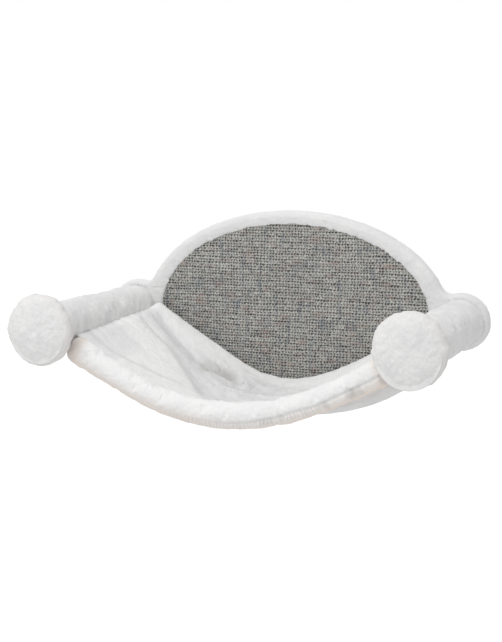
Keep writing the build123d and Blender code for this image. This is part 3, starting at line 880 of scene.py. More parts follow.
@dataclass(frozen=True)
class Board:
    """The scratching board's cloth: the plush border that wraps the wooden board, and the sisal panel."""

    sizes: Sizes
    pile: float = 0.006
    turnover: float = 0.025
    lobe_turnover: float = 0.019
    lobe_from: float = 0.190
    lobe_to: float = 0.215
    edge_round: float = 0.0075
    edge_power: float = 0.72
    lip_gap: float = 0.0003
    lip_reach: float = 0.0042
    lip_shade: float = 0.30
    lip_shade_reach: float = 0.0018
    crown: float = 0.0012
    crown_width: float = 0.025
    fringe: float = 0.0032
    turned_edge: float = 0.0012
    clearance: float = 0.0002
    tuft: float = 0.0009
    border_places: int = 860
    row_pitch: float = 0.00375
    column_pitch: float = 0.0043
    weave_depth: float = 0.0013
    weave_gap: float = 0.0001
    row_groove: float = 0.24
    hole_depth: float = 0.75
    fibre_height: float = 0.22
    crossing_height: float = 0.25
    samples_per_yarn: int = 4

    def build(self) -> None:
        """Build and dress the border and the panel."""
        self.border()
        self.sisal()

    def border(self) -> None:
        """The plush border: a closed profile carried round the board's outline.

        The profile's outer face starts at the panel's edge, rises over a soft lip, runs outwards with a
        low crown, turns round the board's edge on a squared-off arc, and comes back on the rear to the
        turned-over edge. Its inner face follows the wood. The panel's edge is pulled in and out by noise.
        """
        sizes, outline = self.sizes, self.sizes.outline
        outer, normal = outline.around(self.border_places)
        angle = np.arctan2(outer[:, 1] / sizes.panel_half[1], outer[:, 0] / sizes.panel_half[0])
        unit = joined(np.cos(angle), np.sin(angle))
        oval = sizes.panel_half * unit
        bare = (np.array([outline.half_width, outline.half_height]) - self.turnover) * unit
        ragged = 0.45 + 0.65 * layered_noise(np.insert(oval, 1, 0.0, axis=1), 0.006, 3, 5)
        inner = oval * (1.0 - (self.fringe * ragged / np.linalg.norm(oval, axis=1))[:, None])
        rim = outer - normal * self.edge_round
        at_lobe = smooth_step(np.abs(outer[:, :1]), self.lobe_from, self.lobe_to)
        turned = mix(bare, outer - normal * self.lobe_turnover, at_lobe)

        over = np.linspace(0.0, 1.0, 28)[None, :]
        reach = over * np.linalg.norm(rim - inner, axis=1)[:, None]
        low = sizes.panel_front + self.lip_gap
        front_out = low + (sizes.border.front - low) * (1.0 - np.exp(-reach / self.lip_reach))
        front_out += self.crown * np.sin(np.pi * np.clip(reach / self.crown_width, 0, 1))
        turn = np.linspace(0.0, math.pi, 21)[None, 1:]
        edge_out = sizes.border.front / 2 * (1 + squared_off(np.cos(turn), self.edge_power))
        edge_reach = self.edge_round * squared_off(np.sin(turn), self.edge_power)
        under = np.linspace(0.0, 1.0, 10)[None, 1:]
        back_out = self.clearance + self.turned_edge * smooth_step(under, 0.8, 1.0)
        face = np.concatenate([in_frame(mix(inner[:, None], rim[:, None], over[..., None]), front_out),
                               in_frame(rim[:, None] + normal[:, None] * edge_reach[..., None], edge_out),
                               in_frame(mix(rim[:, None], turned[:, None], under[..., None]), back_out)], 1)
        loose = np.where(np.arange(face.shape[1]) < face.shape[1] - under.size - 5, 1.0, 0.1)
        face = add_pile(face, grid_normals(face), self.tuft * loose, 3)

        wood = outer - normal * (self.pile - self.clearance)
        behind, before = sizes.board.back - self.clearance, sizes.board.front + self.clearance
        corners = [in_frame(turned, behind), in_frame(wood, behind), in_frame(wood, before), in_frame(inner, before)]
        points = np.concatenate([face, between_stations(np.stack(corners, 1), 4)], 1)

        steps = np.linalg.norm(np.diff(points, axis=1, prepend=points[:, :1]), axis=2)
        # Painted shade along the border's inner edge, next to the sisal.
        crease_shade = np.zeros(steps.shape)
        crease_shade[:, :over.size] = self.lip_shade * np.exp(-reach / self.lip_shade_reach)
        # Nap mark: random greyer patches, which also tone down the lit border as painted shade.
        nap_and_shade = np.clip(0.28 + 0.5 * layered_noise(points, 0.022, 3, 7), 0, 1)
        uv = joined(np.linspace(0, outline.length(), len(outer))[:, None], np.cumsum(steps, 1))
        piece = closed_loops("board_border_cloth", points, uv, {"crease_shade": crease_shade, "nap_and_shade": nap_and_shade})
        dress(piece, PLUSH, "board_plush_border")
        outline.length()
        float(steps[:, :face.shape[1]].sum(1).mean())

    def sisal(self) -> None:
        """The woven panel: a height field over the oval, on the board's front.

        Weft rows are continuous rounded ribs, and light crossings rise on them. Warp threads cross them
        and show between the rows. A hole lies in the middle of each mesh of the weave: the product of
        the two gaps, stronger or weaker from mesh to mesh, shifted and wider in every second row. Slow
        noise bends the rows and columns. The back is a flat fan.
        """
        half_width, half_height = self.sizes.panel_half
        rows = self.samples_per_yarn * round(2 * half_height / self.row_pitch) + 1
        columns = self.samples_per_yarn * round(2 * half_width / self.column_pitch) + 1
        z = np.linspace(-1, 1, rows)[:, None] * half_height * 0.99999
        x = np.linspace(-1, 1, columns)[None, :] * half_width * np.sqrt(1 - (z / half_height) ** 2)
        flat = joined(x, 0, z)
        row_at = (z + 0.0022 * layered_noise(flat, (0.08, 1.0, 0.03), 4, 21)) / self.row_pitch
        column_at = (x + 0.0026 * layered_noise(flat, (0.03, 1.0, 0.06), 4, 31)) / self.column_pitch
        alternate = wave((row_at - 0.5) / 2)
        row_gap = wave(row_at) ** 1.2
        column_gap = wave(column_at - 0.15 * np.cos(math.pi * (row_at - 0.5))) ** 0.8
        over = wave(column_at + 0.5 - 0.18 * np.cos(math.pi * row_at))
        each_hole = 0.85 + 0.45 * lattice_noise(joined(np.floor(column_at), 0, np.floor(row_at)), 43)
        each_row = 0.5 + 0.5 * lattice_noise(joined(x / 0.05, 0, np.round(row_at)), 47)
        each_column = 0.5 + 0.5 * lattice_noise(joined(np.round(column_at), 0, z / 0.05), 53)
        gap = row_gap * (0.25 * (1 - each_column) + 0.75 * column_gap) * each_hole * (0.70 + 0.35 * alternate)
        fibre = layered_noise(flat, (0.007, 1.0, 0.0021), 2, 41)
        height = 1 - self.row_groove * row_gap * (0.70 + 0.45 * alternate) - self.hole_depth * gap
        height += (1 - row_gap) * (self.fibre_height * fibre + self.crossing_height * (over - 0.5))
        height = np.minimum(height, 1.0)
        out = self.sizes.panel_front - self.weave_depth * (1 - height)
        yarn = np.clip(0.35 + 0.35 * each_row * (1 - row_gap) + 0.30 * each_column * row_gap + 0.35 * fibre, 0, 1)

        count = rows * columns
        loop = border_loop(rows, columns)[::-1]
        ring = count + np.arange(len(loop))
        after, ring_after = np.roll(loop, -1), np.roll(ring, -1)
        hub = np.full(len(loop), count + len(loop))
        foot_out = self.sizes.board.front + self.weave_gap
        front = joined(x, -out, z).reshape(-1, 3)
        points = np.concatenate([front, front[loop] * [1, 0, 1] - [0, foot_out, 0], [[0, -foot_out, 0]]])
        faces = [grid_faces(rows, columns, False, False)[:, ::-1], np.stack([loop, ring, ring_after, after], 1),
                 np.stack([ring, hub, ring_after, ring_after], 1)]
        uv = joined(column_at, row_at).reshape(-1, 2)
        uv = np.concatenate([uv, uv[loop], [[0.0, 0.0]]])
        marks = {"yarn": np.concatenate([yarn.ravel(), yarn.ravel()[loop], [0.5]])}
        piece = mesh_piece("sisal_weave", points, np.concatenate(faces), uv, marks)
        dress(piece, SISAL, "sisal_panel")


@dataclass(frozen=True)
class Arm:
    """One arm's cloth: the hammock's sleeve round it, and the padded cover of the disc on its end."""

    sizes: Sizes
    side: Side
    back_seam_height: float = -0.005
    front_seam_height: float = -0.0125
    seam_half_width: float = 0.05
    seam_depth: float = 0.0009
    sleeve_inset: float = 0.0006
    slack_height: float = 0.0011
    band_height: float = 0.0005
    gather_height: float = 0.0008
    sleeve_pile: float = 0.0008
    tube_gap: float = 0.00015
    sleeve_lift: float = 0.0028
    lip_width: float = 0.003
    lip_depth: float = 0.0016
    least_cloth: float = 0.0016
    slack: Stuffing = Stuffing(pressure=8.0, growth=0.009, hold=0.22, most=0.0009)
    sleeve_around: int = 150
    sleeve_along: int = 200
    disc_around: int = 260
    disc_middle: float = 0.2822
    disc_power: float = 0.86
    disc_inset: float = 0.0016
    face_inset: float = 0.0012
    hole_gap: float = 0.0005
    core_gap: float = 0.0002
    lump_height: float = 0.0011
    rim_tuft: float = 0.0014
    rim_tuft_reach: float = 0.014
    disc_pile: float = 0.0007
    # Painted shade on the disc's side and back: how much darker and how much warmer.
    side_shade: float = 0.09
    side_warm_shade: float = 0.30
    disc_lift: float = 0.0048
    uneven_lift: float = 0.0013
    uneven_height: float = 0.018
    pole: float = 0.0002
    puckers: int = 23
    pucker_depth: float = 0.0007
    padding: Stuffing = Stuffing(pressure=25.0, growth=0.002, hold=0.25, most=0.0010)

    def build(self) -> None:
        """Build and dress the sleeve and the disc's cover."""
        self.sleeve()
        self.disc()

    def turned(self, radius: Array, out: Array, turn: Array) -> Array:
        """A profile turned about the arm's axis, its columns ordered for this side to face outwards.

        Args:
            radius: distances from the axis.
            out: distances out from the wall.
            turn: angles round the axis, 0 on the inner side, where the bed hangs.

        Returns:
            The (rows, columns, 3) grid.
        """
        points = joined(-self.sizes.arm_x + radius * np.cos(turn), -out, radius * np.sin(turn))
        return self.ordered(points) * ([-1, 1, 1] if self.side is Side.RIGHT else 1)

    def ordered(self, values: Array) -> Array:
        """Values with their columns in this side's order."""
        return values[:, ::-1] if self.side is Side.RIGHT else values

    @staticmethod
    def lined(mark: Array, shape: tuple[int, ...], inside: int) -> Array:
        """A mark of the outer face, with zeros for the rows of the inner one, rows reversed as the points'."""
        return np.concatenate([np.broadcast_to(mark, shape[:2]), np.zeros((inside, shape[1]))])[::-1]

    def sleeve(self) -> None:
        """The sleeve: a tube of cloth round the arm, wrinkled, and drawn in along the stitched seam.

        Its outer radius is the solid's, changed by soft slack, by wrinkles with short cells along the
        arm and long ones round it, which deepen near both ends, and by a groove at the seam's angle
        with short gathers beside it. The angle runs from the inner side, where the bed hangs.
        """
        sizes, start, end = self.sizes, self.sizes.sleeve.back, self.sizes.sleeve.front
        out = np.linspace(start, end, self.sleeve_along)[:, None]
        turn = full_turn(self.sleeve_around)
        share = (out - start) / (end - start)
        seam = np.arcsin((self.back_seam_height + (self.front_seam_height - self.back_seam_height) * share)
                         / sizes.sleeve_radius)
        place = joined(np.cos(turn), out, np.sin(turn)) * [sizes.sleeve_radius, 1.0, sizes.sleeve_radius]
        place = place + [0.0, 0.31 * self.side.value, 0.0]
        slack = layered_noise(place, (0.030, 0.042, 0.030), 2, 71)
        bands = layered_noise(place + 0.25 * place[..., ::-1] * [1, 0, 0], (0.040, 0.0105, 0.040), 3, 61)
        ends = np.exp(-(end - out) / 0.03) + 0.8 * np.exp(-(out - start) / 0.025)
        from_seam = angle_from(turn, seam)
        gathers = layered_noise(place, (0.2, 0.0075, 0.2), 2, 81) * bell(from_seam, 0.36)
        radius = sizes.sleeve_radius - self.sleeve_inset + self.slack_height * slack
        radius = radius + self.band_height * bands * (0.3 + 2.4 * ends) + self.gather_height * gathers
        radius = radius - self.seam_depth * bell(from_seam, self.seam_half_width)
        lip = 1 - smooth_step(np.minimum(out - start, end - out), 0.0, self.lip_width)
        radius = np.maximum(radius - self.lip_depth * lip, sizes.tube.radius + self.least_cloth)

        outer = self.turned(radius, out, turn)
        held = np.maximum(0.9 * bell(self.ordered(from_seam), 0.16), 0.5 * lip)
        outer = self.slack.puffed(outer[::-1], held[::-1], 3)[::-1]
        outer[..., 2] += self.sleeve_lift * share
        outer = add_pile(outer, -grid_normals(outer, wrap_columns=True), self.sleeve_pile, 91 + self.side.value)
        inner_out = np.linspace(end, start, 8)[:, None]
        inner = self.turned(sizes.tube.radius + self.tube_gap, inner_out, turn)
        points = np.concatenate([outer, inner])[::-1]
        # Painted shade in the seam's groove and in the wrinkles' valleys, stronger near the ends.
        crease_shade = 0.16 * bell(from_seam, 0.045) + 0.10 * smooth_step(-bands, 0.15, 0.8) * (0.5 + ends)
        # Nap mark: random greyer patches and painted shade on the sleeve's sides, with less of it beside the seam.
        combed = layered_noise(place, (0.016, 0.024, 0.016), 3, 75)
        nap_and_shade = np.clip(0.30 + 0.65 * combed - 0.40 * bell(from_seam + 0.05, 0.5) + 0.10 * ends, 0, 1)
        marks = {name: self.lined(self.ordered(mark), outer.shape, len(inner_out))
                 for name, mark in (("crease_shade", crease_shade), ("nap_and_shade", nap_and_shade))}
        uv = joined(np.concatenate([out, inner_out])[::-1], turn * sizes.sleeve_radius)
        piece = closed_loops(f"arm_sleeve_cloth_{self.side.word}", points, uv, marks)
        dress(piece, PLUSH, f"arm_sleeve_{self.side.word}")

    def disc(self) -> None:
        """The padded cover of the end disc: a closed profile turned about the arm's axis, unevenly stuffed.

        Its outer face starts at the hole on the back, swells out to the rim on a squared-off quarter oval, and comes
        round to the middle of the front on a flatter one. Its inner face follows the wooden disc. The back is gathered
        round its hole in radial puckers. Broad lumps swell the cover, and small tufts stand out along its rim. Painted
        shade darkens the puckers' grooves, and darker, warmer painted shade lies on the side and the back.
        """
        sizes, hole = self.sizes, self.sizes.tube.radius + self.hole_gap
        middle, rim, spin = self.disc_middle, self.sizes.disc.radius - self.disc_inset, full_turn(self.disc_around)
        back_turn = np.linspace(0, math.pi / 2, 34)[:, None]
        front_turn = np.linspace(0, math.pi / 2, 72)[1:, None]
        (back_sine, back_cosine), (front_sine, front_cosine) = (
            (squared_off(np.sin(turn), self.disc_power), squared_off(np.cos(turn), self.disc_power))
            for turn in (back_turn, front_turn))
        radius = np.concatenate([hole + (rim - hole) * back_sine, rim * front_cosine])
        radius[-1] = self.pole
        out = np.concatenate([middle - (middle - sizes.disc.back) * back_cosine,
                              middle + (sizes.disc.front - self.face_inset - middle) * front_sine])
        is_back = out < middle

        face = self.turned(radius, out, spin)
        normal = -grid_normals(face, wrap_columns=True)
        place = face + 0.7 * self.side.value
        puckers = np.cos(self.puckers * spin + 3 * layered_noise(place, 0.05, 1, 131)[:, :1]) * is_back
        gathered = puckers * smooth_step(rim - radius, 0.001, 0.012) * self.pucker_depth
        tufts = layered_noise(place, (0.009, 0.020, 0.009), 2, 121) * bell(out - middle, self.rim_tuft_reach)
        lumps = self.lump_height * layered_noise(place, 0.026, 2, 101) + self.rim_tuft * tufts
        calm = smooth_step(radius, 0.001, 0.006)
        face = face + normal * (lumps * calm + gathered)[..., None]
        held = np.where(is_back, smooth_step(-radius, -hole - 0.003, -hole), 1 - smooth_step(radius, 0.006, 0.022))
        held = np.broadcast_to(held, face.shape[:2])
        face = self.padding.puffed(face[::-1], held[::-1], 4)[::-1]
        free = 1 - is_back * smooth_step(-radius, -hole - 0.012, -hole)
        face[..., 2] *= 1 - self.uneven_height * (self.side.value - 1) * free
        face[..., 2] += (self.disc_lift + self.uneven_lift * self.side.value) * free
        face = add_pile(face, normal, self.disc_pile * calm, 111 + self.side.value)

        core = sizes.core.radius + self.core_gap
        core_back, core_front = sizes.core.back - self.core_gap, sizes.core.front + self.core_gap
        inner_radius = np.array([self.pole * core, 0.5 * core, 0.98 * core, core, core, hole])[:, None]
        inner_out = np.array([core_front] * 4 + [core_back] * 2)[:, None]
        points = np.concatenate([face, self.turned(inner_radius, inner_out, spin)])[::-1]
        # Painted shade, darker and warmer, on the side and the back, and in the puckers' grooves.
        shaded = smooth_step(middle + 0.012 - out, 0.0, 0.012)
        crease_shade = 0.25 * smooth_step(-puckers, 0.2, 1.0) * smooth_step(rim - radius, 0.002, 0.012)
        crease_shade = crease_shade + self.side_shade * shaded
        marks = {name: self.lined(mark, face.shape, len(inner_out))
                 for name, mark in (("crease_shade", crease_shade), ("warm", self.side_warm_shade * shaded))}
        piece = closed_loops(f"end_disc_cover_{self.side.word}", points, points[..., [0, 2]], marks)
        dress(piece, PLUSH, f"end_disc_plush_{self.side.word}")


@dataclass(frozen=True)
class Fold:
    """A fold of the bed, between two places given as shares of the half width and of the depth.

    Its run bows to one side by bow. Steep and broad are the half widths of its two sides.
    """

    start: tuple[float, float]
    end: tuple[float, float]
    height: float
    steep: float
    broad: float
    bow: float = 0.0
    valley_shade: float = 60.0
    foot_shade: float = 0.18

    def rise(self, x: Array, out: Array, half_width: Array, depth: float) -> tuple[Array, Array]:
        """Height that the fold adds, and how far painted shade darkens the pile.

        The height is a bell across the fold's run, steeper on one side, that fades beyond both ends. A valley gets
        painted shade on its own bottom by its depth, a ridge at the foot of its steep side.

        Args:
            x: places across the bed.
            out: distances out from the bed's back edge.
            half_width: the bed's half width there.
            depth: the bed's depth.

        Returns:
            The height and a mark of painted shade from 0 to 1.
        """
        run_x, run_out = (self.end[0] - self.start[0]) * half_width, (self.end[1] - self.start[1]) * depth
        place_x, place_out = x - self.start[0] * half_width, out - self.start[1] * depth
        length = np.hypot(run_x, run_out)
        along = 2 * (place_x * run_x + place_out * run_out) / length**2 - 1
        beside = (run_x * place_out - run_out * place_x) / length - self.bow * (1 - np.minimum(along**2, 1.0))
        fade = np.exp(-(along**4))
        rise = self.height * bell(beside, np.where(beside < 0, self.steep, self.broad)) * fade
        if self.height < 0:
            return rise, -self.valley_shade * self.height * bell(beside, 0.55 * self.steep) * fade
        return rise, self.foot_shade * bell(beside + 1.35 * self.steep, 0.8 * self.steep) * fade


@dataclass(frozen=True)
class Dimple:
    """A shallow hollow in the bed: its middle, its half widths and its depth, in metres."""

    x: float
    out: float
    half_x: float
    half_out: float
    depth: float

    def share(self, x: Array, out: Array) -> Array:
        """How deep a place lies in the hollow, from 0 outside it to 1 in its middle."""
        return bell(x - self.x, self.half_x) * bell(out - self.out, self.half_out)


@dataclass(frozen=True)
class Line:
    """A line over the bed: distances out from the wall at rising places x, straight between them."""

    x: tuple[float, ...]
    out: tuple[float, ...]

    def at(self, x: Array) -> Array:
        """How far out the line lies at each x."""
        return np.interp(x, self.x, self.out)


@dataclass(frozen=True)
class Tube:
    """A tube along a hanging edge, given at places along it, one to a row."""

    x: Array
    out: float
    height: Array
    slope: Array
    half_depth: Array
    half_height: Array

    def points(self, turn: Array, smaller: Array | float = 0.0, taper: Array | float = 1.0) -> Array:
        """Points of an oval square to the edge at each place along it.

        Args:
            turn: angles round the oval, one to a column, 0 at its front.
            smaller: how far the surface lies within the tube's own, in metres.
            taper: share of its size that the oval has at each place.

        Returns:
            The (rows, columns, 3) points.
        """
        tilt = np.arctan(self.slope)
        up = np.sin(turn) * ((self.half_height - smaller) * taper)
        forward = np.cos(turn) * ((self.half_depth - smaller) * taper)
        return joined(self.x - np.sin(tilt) * up, -(self.out + forward), self.height + np.cos(tilt) * up)

    def every(self, step: int) -> "Tube":
        """The same tube with fewer rows."""
        return Tube(self.x[::step], self.out, self.height[::step], self.slope[::step], self.half_depth[::step],
                    self.half_height[::step])


@dataclass(frozen=True)
class Bed:
    """The hanging bed: its plush, its lining, the hem behind it and the padded roll in front of it."""

    sizes: Sizes
    dip: float = 0.088
    belly: float = 0.015
    back_edge: float = 0.008
    back_seam: float = -0.003
    front_edge: float = -0.012
    back_softness: float = 0.042
    front_softness: float = 0.125
    shoulder_width: float = 0.018
    shoulder_back: float = 0.0010
    shoulder_front: float = 0.0028
    shoulder_height: float = 0.0012
    seam_inset: float = 0.0010
    ruffle_height: float = 0.0046
    slow_wave: float = 0.0013
    seam_gathers: float = 0.0014
    bed_pile: float = 0.0010
    plush_thickness: float = 0.0045
    lining_thickness: float = 0.0010
    lining_gap: float = 0.0012
    lining_slack: float = 0.0006
    lining_gathers: float = 0.0007
    hem_radius: float = 0.005
    hem_inset: float = 0.001
    hem_swell: float = 0.0006
    tube_pile: float = 0.0009
    tip_drop: float = 0.009
    tip_length: float = 0.020
    roll_drop: float = 0.004
    roll_end_drop: float = 0.005
    roll_softness: float = 0.140
    roll_depth: float = 0.0140
    roll_height: float = 0.0135
    roll_end_size: float = 0.0170
    roll_cap: float = 0.012
    roll_gap: float = 0.0005
    roll_inset: float = 0.0003
    swell_height: float = 0.0010
    groove_depth: float = 0.0016
    roll_gathers: float = 0.0010
    rib_height: float = 0.0003
    wrinkle_height: float = 0.0008
    roll_wall: float = 0.0055
    filling_gap: float = 0.0004
    roll_seam_places: tuple[float, ...] = (-0.205, -0.12, -0.05, 0.0, 0.08, 0.205)
    roll_seam_angles: tuple[float, ...] = (-0.72, -0.68, -0.52, -0.44, -0.32, -0.15)
    sleeve_bite: float = 0.006
    back_moves: tuple[Triple, ...] = (
        (-0.175, 0.030, 0.0028), (-0.055, 0.040, -0.0042), (0.105, 0.082, -0.0096))
    roll_sag: float = 0.0015
    roll_fullness: float = 0.0030
    rib_pitch: float = 0.0041
    stuffing: Stuffing = Stuffing(pressure=25.0, growth=0.012, hold=0.22, most=0.0016)
    folds: tuple[Fold, ...] = (
        Fold((-0.97, 0.27), (-0.30, 0.82), 0.0070, 0.010, 0.050, -0.009),
        Fold((-0.95, 0.07), (-0.50, 0.27), -0.0052, 0.009, 0.013),
        Fold((-0.62, 0.26), (-0.20, 0.22), -0.0036, 0.011, 0.018),
        Fold((-0.98, 0.15), (-0.70, 0.31), 0.0042, 0.007, 0.010),
        Fold((-0.99, 0.23), (-0.74, 0.38), -0.0044, 0.008, 0.009),
        Fold((0.42, 0.80), (0.95, 0.33), 0.0050, 0.011, 0.046),
        Fold((0.20, 0.21), (0.86, 0.16), -0.0048, 0.012, 0.018),
        Fold((-0.34, 0.42), (0.24, 0.34), 0.0030, 0.010, 0.020),
        Fold((-0.30, 0.66), (0.02, 0.86), 0.0024, 0.008, 0.016),
        Fold((0.05, 0.55), (0.36, 0.46), 0.0024, 0.008, 0.014),
    )
    dimples: tuple[Dimple, ...] = (
        Dimple(-0.084, 0.075, 0.012, 0.013, 0.0034), Dimple(-0.064, 0.073, 0.012, 0.014, 0.0044),
        Dimple(-0.049, 0.042, 0.014, 0.009, 0.0028), Dimple(-0.036, 0.075, 0.008, 0.014, 0.0012),
        Dimple(-0.094, 0.094, 0.009, 0.018, 0.0018), Dimple(-0.014, 0.057, 0.011, 0.008, 0.0014),
        Dimple(0.013, 0.058, 0.012, 0.008, 0.0014))
    dimple_shade: float = 160.0
    valley: Line = Line((-0.176, -0.150, -0.106, -0.059, -0.032, 0.060),
                        (0.048, 0.058, 0.068, 0.062, 0.050, 0.056))
    main_foot: Line = Line((-0.192, -0.156, -0.135, -0.104, -0.084, -0.066, -0.020, 0.060, 0.160),
                           (0.090, 0.096, 0.112, 0.143, 0.170, 0.196, 0.200, 0.180, 0.120))
    corner: Line = Line((-0.199, -0.175, -0.150), (0.148, 0.153, 0.160))
    roll_side: Line = Line((-0.180, -0.142, -0.095, -0.060), (0.219, 0.217, 0.200, 0.190))

    @staticmethod
    def hanging(x: Array, middle: Array, end: Array, end_x: Array, softness: Array) -> Array:
        """Height of an edge that hangs between two ends: a hyperbola, straight near them and round between."""
        def bow(reach: Array) -> Array:
            return np.hypot(reach, softness) - softness

        return middle + (end - middle) * bow(x) / bow(end_x)

    @property
    def tube_end_x(self) -> float:
        """How far the hem and the roll reach from the middle."""
        return self.sizes.arm_x - self.sizes.sleeve_radius + self.sleeve_bite

    def edge(self, share: Array) -> tuple[Array, Array]:
        """The (x, z) place where the bed's upper face meets the right sleeve, at a share of its depth."""
        height = self.back_seam + (self.front_edge - self.back_seam) * share
        reach = self.sizes.sleeve_radius - self.seam_inset
        return self.sizes.arm_x - np.sqrt(reach**2 - height**2), height

    def back_edge_moves(self, x: Array) -> Array:
        """How far the back edge hangs above or below its even curve: a few wide bells."""
        return sum(rise * bell(x - place, width) for place, width, rise in self.back_moves)

    def brushed_shade(self, x: Array, out: Array) -> Array:
        """Where the bed is painted a greyer shade: between the back valley and the main fold's foot.

        The zone fades to the right. A second zone lies in the front corner on the left.
        """
        wavy = 0.004 * layered_noise(joined(x, out, 0), 0.018, 3, 231)
        zone = smooth_step(out + wavy - self.valley.at(x), -0.006, 0.010)
        zone = zone * smooth_step(self.main_foot.at(x) - out + wavy, -0.002, 0.006)
        corner = 0.85 * smooth_step(out + wavy - self.corner.at(x), -0.006, 0.012)
        corner = corner * smooth_step(-x + wavy, 0.142, 0.160)
        return np.maximum(zone * (1 - 0.45 * smooth_step(x, -0.03, 0.06)), corner)

    def surface(self, rows: int, columns: int) -> tuple[Array, Array, Array]:
        """The bed's upper face, the painted shade in its creases and its zone of greyer painted shade, rows going out
        from the wall.

        The height is a hanging curve between the sleeves, with a belly, the main folds, small puckers
        in the middle, a few dimples, slow waves, and a rounded shoulder with gathers beside each seam.
        Towards the seams the cloth rises a little to lie close under the sleeves. Painted shade darkens the valleys,
        the puckers, the dimples, the gathers, the seams and a line along the left of the roll, and lies in blotches
        over the grey zone.

        Args:
            rows: how many rows, from the back edge to the front one.
            columns: how many columns, from the left seam to the right one.

        Returns:
            The (rows, columns, 3) points, the mark of painted shade in the creases, and the nap mark, which paints
            greyer shade over its zone.
        """
        solid = Solid("bed_plush")
        depth = solid.front - solid.back
        share = np.linspace(-0.012, 1.016, rows)[:, None]
        inside = np.clip(share, 0, 1)
        edge_x, edge_z = self.edge(inside)
        x = np.linspace(-1, 1, columns)[None, :] * edge_x
        from_seam = edge_x - np.abs(x)
        from_back = share * depth
        out = solid.back + from_back
        flat = joined(x, from_back, 0)
        softness = self.back_softness + (self.front_softness - self.back_softness) * inside
        lift = (self.back_edge - self.back_seam) * (1 - smooth_step(inside, 0.0, 0.18))
        middle = -self.dip - self.belly * 4 * inside * (1 - inside)
        height = self.hanging(x, middle, edge_z + lift, edge_x, softness)
        height = height - lift * (1 - smooth_step(from_seam, 0.0, 0.016))

        ruffled = bell(x + 0.030, 0.085) * bell(share - 0.28, 0.24)
        puckers = 1 - 2 * np.abs(layered_noise(flat, (0.022, 0.030, 1.0), 3, 121))
        rise = self.slow_wave * layered_noise(flat, (0.050, 0.030, 1.0), 2, 131)
        rise = rise + self.ruffle_height * ruffled * puckers
        # Painted shade in the puckers of the ruffled middle.
        crease_shade = 0.22 * ruffled * smooth_step(-puckers, 0.0, 0.7)
        for fold in self.folds:
            fold_rise, dark = fold.rise(x, from_back, edge_x, depth)
            rise, crease_shade = rise + fold_rise, crease_shade + dark
        wavy = 0.004 * layered_noise(flat, 0.014, 2, 271)
        for dimple in self.dimples:
            hollow = dimple.depth * dimple.share(x + wavy, out + wavy)
            rise, crease_shade = rise - hollow, crease_shade + self.dimple_shade * hollow

        off_seam = smooth_step(from_seam, 0.0, 0.014)
        fade = off_seam * (1 - (2 * inside - 1) ** 8)
        shoulder = self.shoulder_height * bell(from_seam - 0.010, 0.007) - 0.0007 * bell(from_seam, 0.003)
        raised = self.shoulder_back + (self.shoulder_front - self.shoulder_back) * inside
        gathers = layered_noise(flat, (0.2, 0.008, 1.0), 2, 141) * bell(from_seam - 0.008, 0.014)
        height = height + rise * fade + shoulder + raised * bell(from_seam, self.shoulder_width)
        height = height + self.seam_gathers * gathers + self.back_edge_moves(x) * off_seam * (1 - inside)

        # Nap mark: painted greyer shade over the zone between the valley and the main fold's foot.
        nap_and_shade = self.brushed_shade(x, out)
        # Painted shade: blotches over the grey zone and a line along the left of the roll.
        blotches = smooth_step(layered_noise(flat, (0.024, 0.013, 1.0), 3, 241), 0.12, 0.55)
        ragged = 0.003 * layered_noise(flat, (0.020, 1.0, 1.0), 2, 251)
        shade_along_roll = bell(out - self.roll_side.at(x) + ragged, 0.0032) * smooth_step(-x, 0.065, 0.100)
        # Painted shade along the seams and in the gathers.
        crease_shade = np.clip(crease_shade * fade + 0.12 * bell(from_seam, 0.0026) + 0.12 * smooth_step(-gathers, 0.2, 0.8), 0, 1)
        crease_shade = crease_shade + 0.22 * nap_and_shade * blotches * bell(x + 0.015, 0.080) + 0.30 * shade_along_roll
        return joined(x, -out, height), np.clip(crease_shade, 0, 1), nap_and_shade

    def build(self) -> None:
        """Build and dress every piece of the bed."""
        self.plush()
        self.lining()
        self.hem()
        self.roll()

    def plush(self) -> None:
        """The bed's plush, with pile on its upper face."""
        points, crease_shade, nap_and_shade = self.surface(150, 300)
        points = add_pile(points, -grid_normals(points), self.bed_pile, 151)[::-1]
        piece = two_faced_cloth("bed_plush_cloth", points, self.plush_thickness, points[..., :2],
                                {"crease_shade": crease_shade[::-1], "nap_and_shade": nap_and_shade[::-1]}, Rim.ROUND)
        dress(piece, LIT_HAMMOCK_PLUSH, "bed_plush")
        self.flat_size(points)

    def lining(self) -> None:
        """The lining under the bed, a little slack, with fine gathers along its front and back edges."""
        points = self.surface(100, 200)[0]
        share = np.linspace(0, 1, len(points))[:, None]
        flat = points * [1, 1, 0]
        gathers = layered_noise(flat, (0.006, 0.2, 1.0), 2, 161) * (bell(share - 1, 0.2) + bell(share, 0.07))
        slack = layered_noise(flat, (0.05, 0.05, 1.0), 2, 165)
        points = points - [0, 0, self.plush_thickness + self.lining_gap]
        points[..., 2] += self.lining_slack * slack + self.lining_gathers * gathers
        # Painted shade in the gathers along the edges.
        piece = two_faced_cloth("bed_lining_cloth", points, self.lining_thickness, points[..., :2],
                                {"crease_shade": 0.45 * smooth_step(gathers, 0.0, 0.6)}, Rim.SQUARE)
        dress(piece, LINING, "bed_lining")
        self.flat_size(points)

    @staticmethod
    def flat_size(points: Array) -> tuple[float, float]:
        """The size that a hanging grid was cut to: its middle row's length and its depth."""
        across = np.linalg.norm(np.diff(points[len(points) // 2], axis=0), axis=1).sum()
        return float(across), float(np.ptp(points[..., 1]))

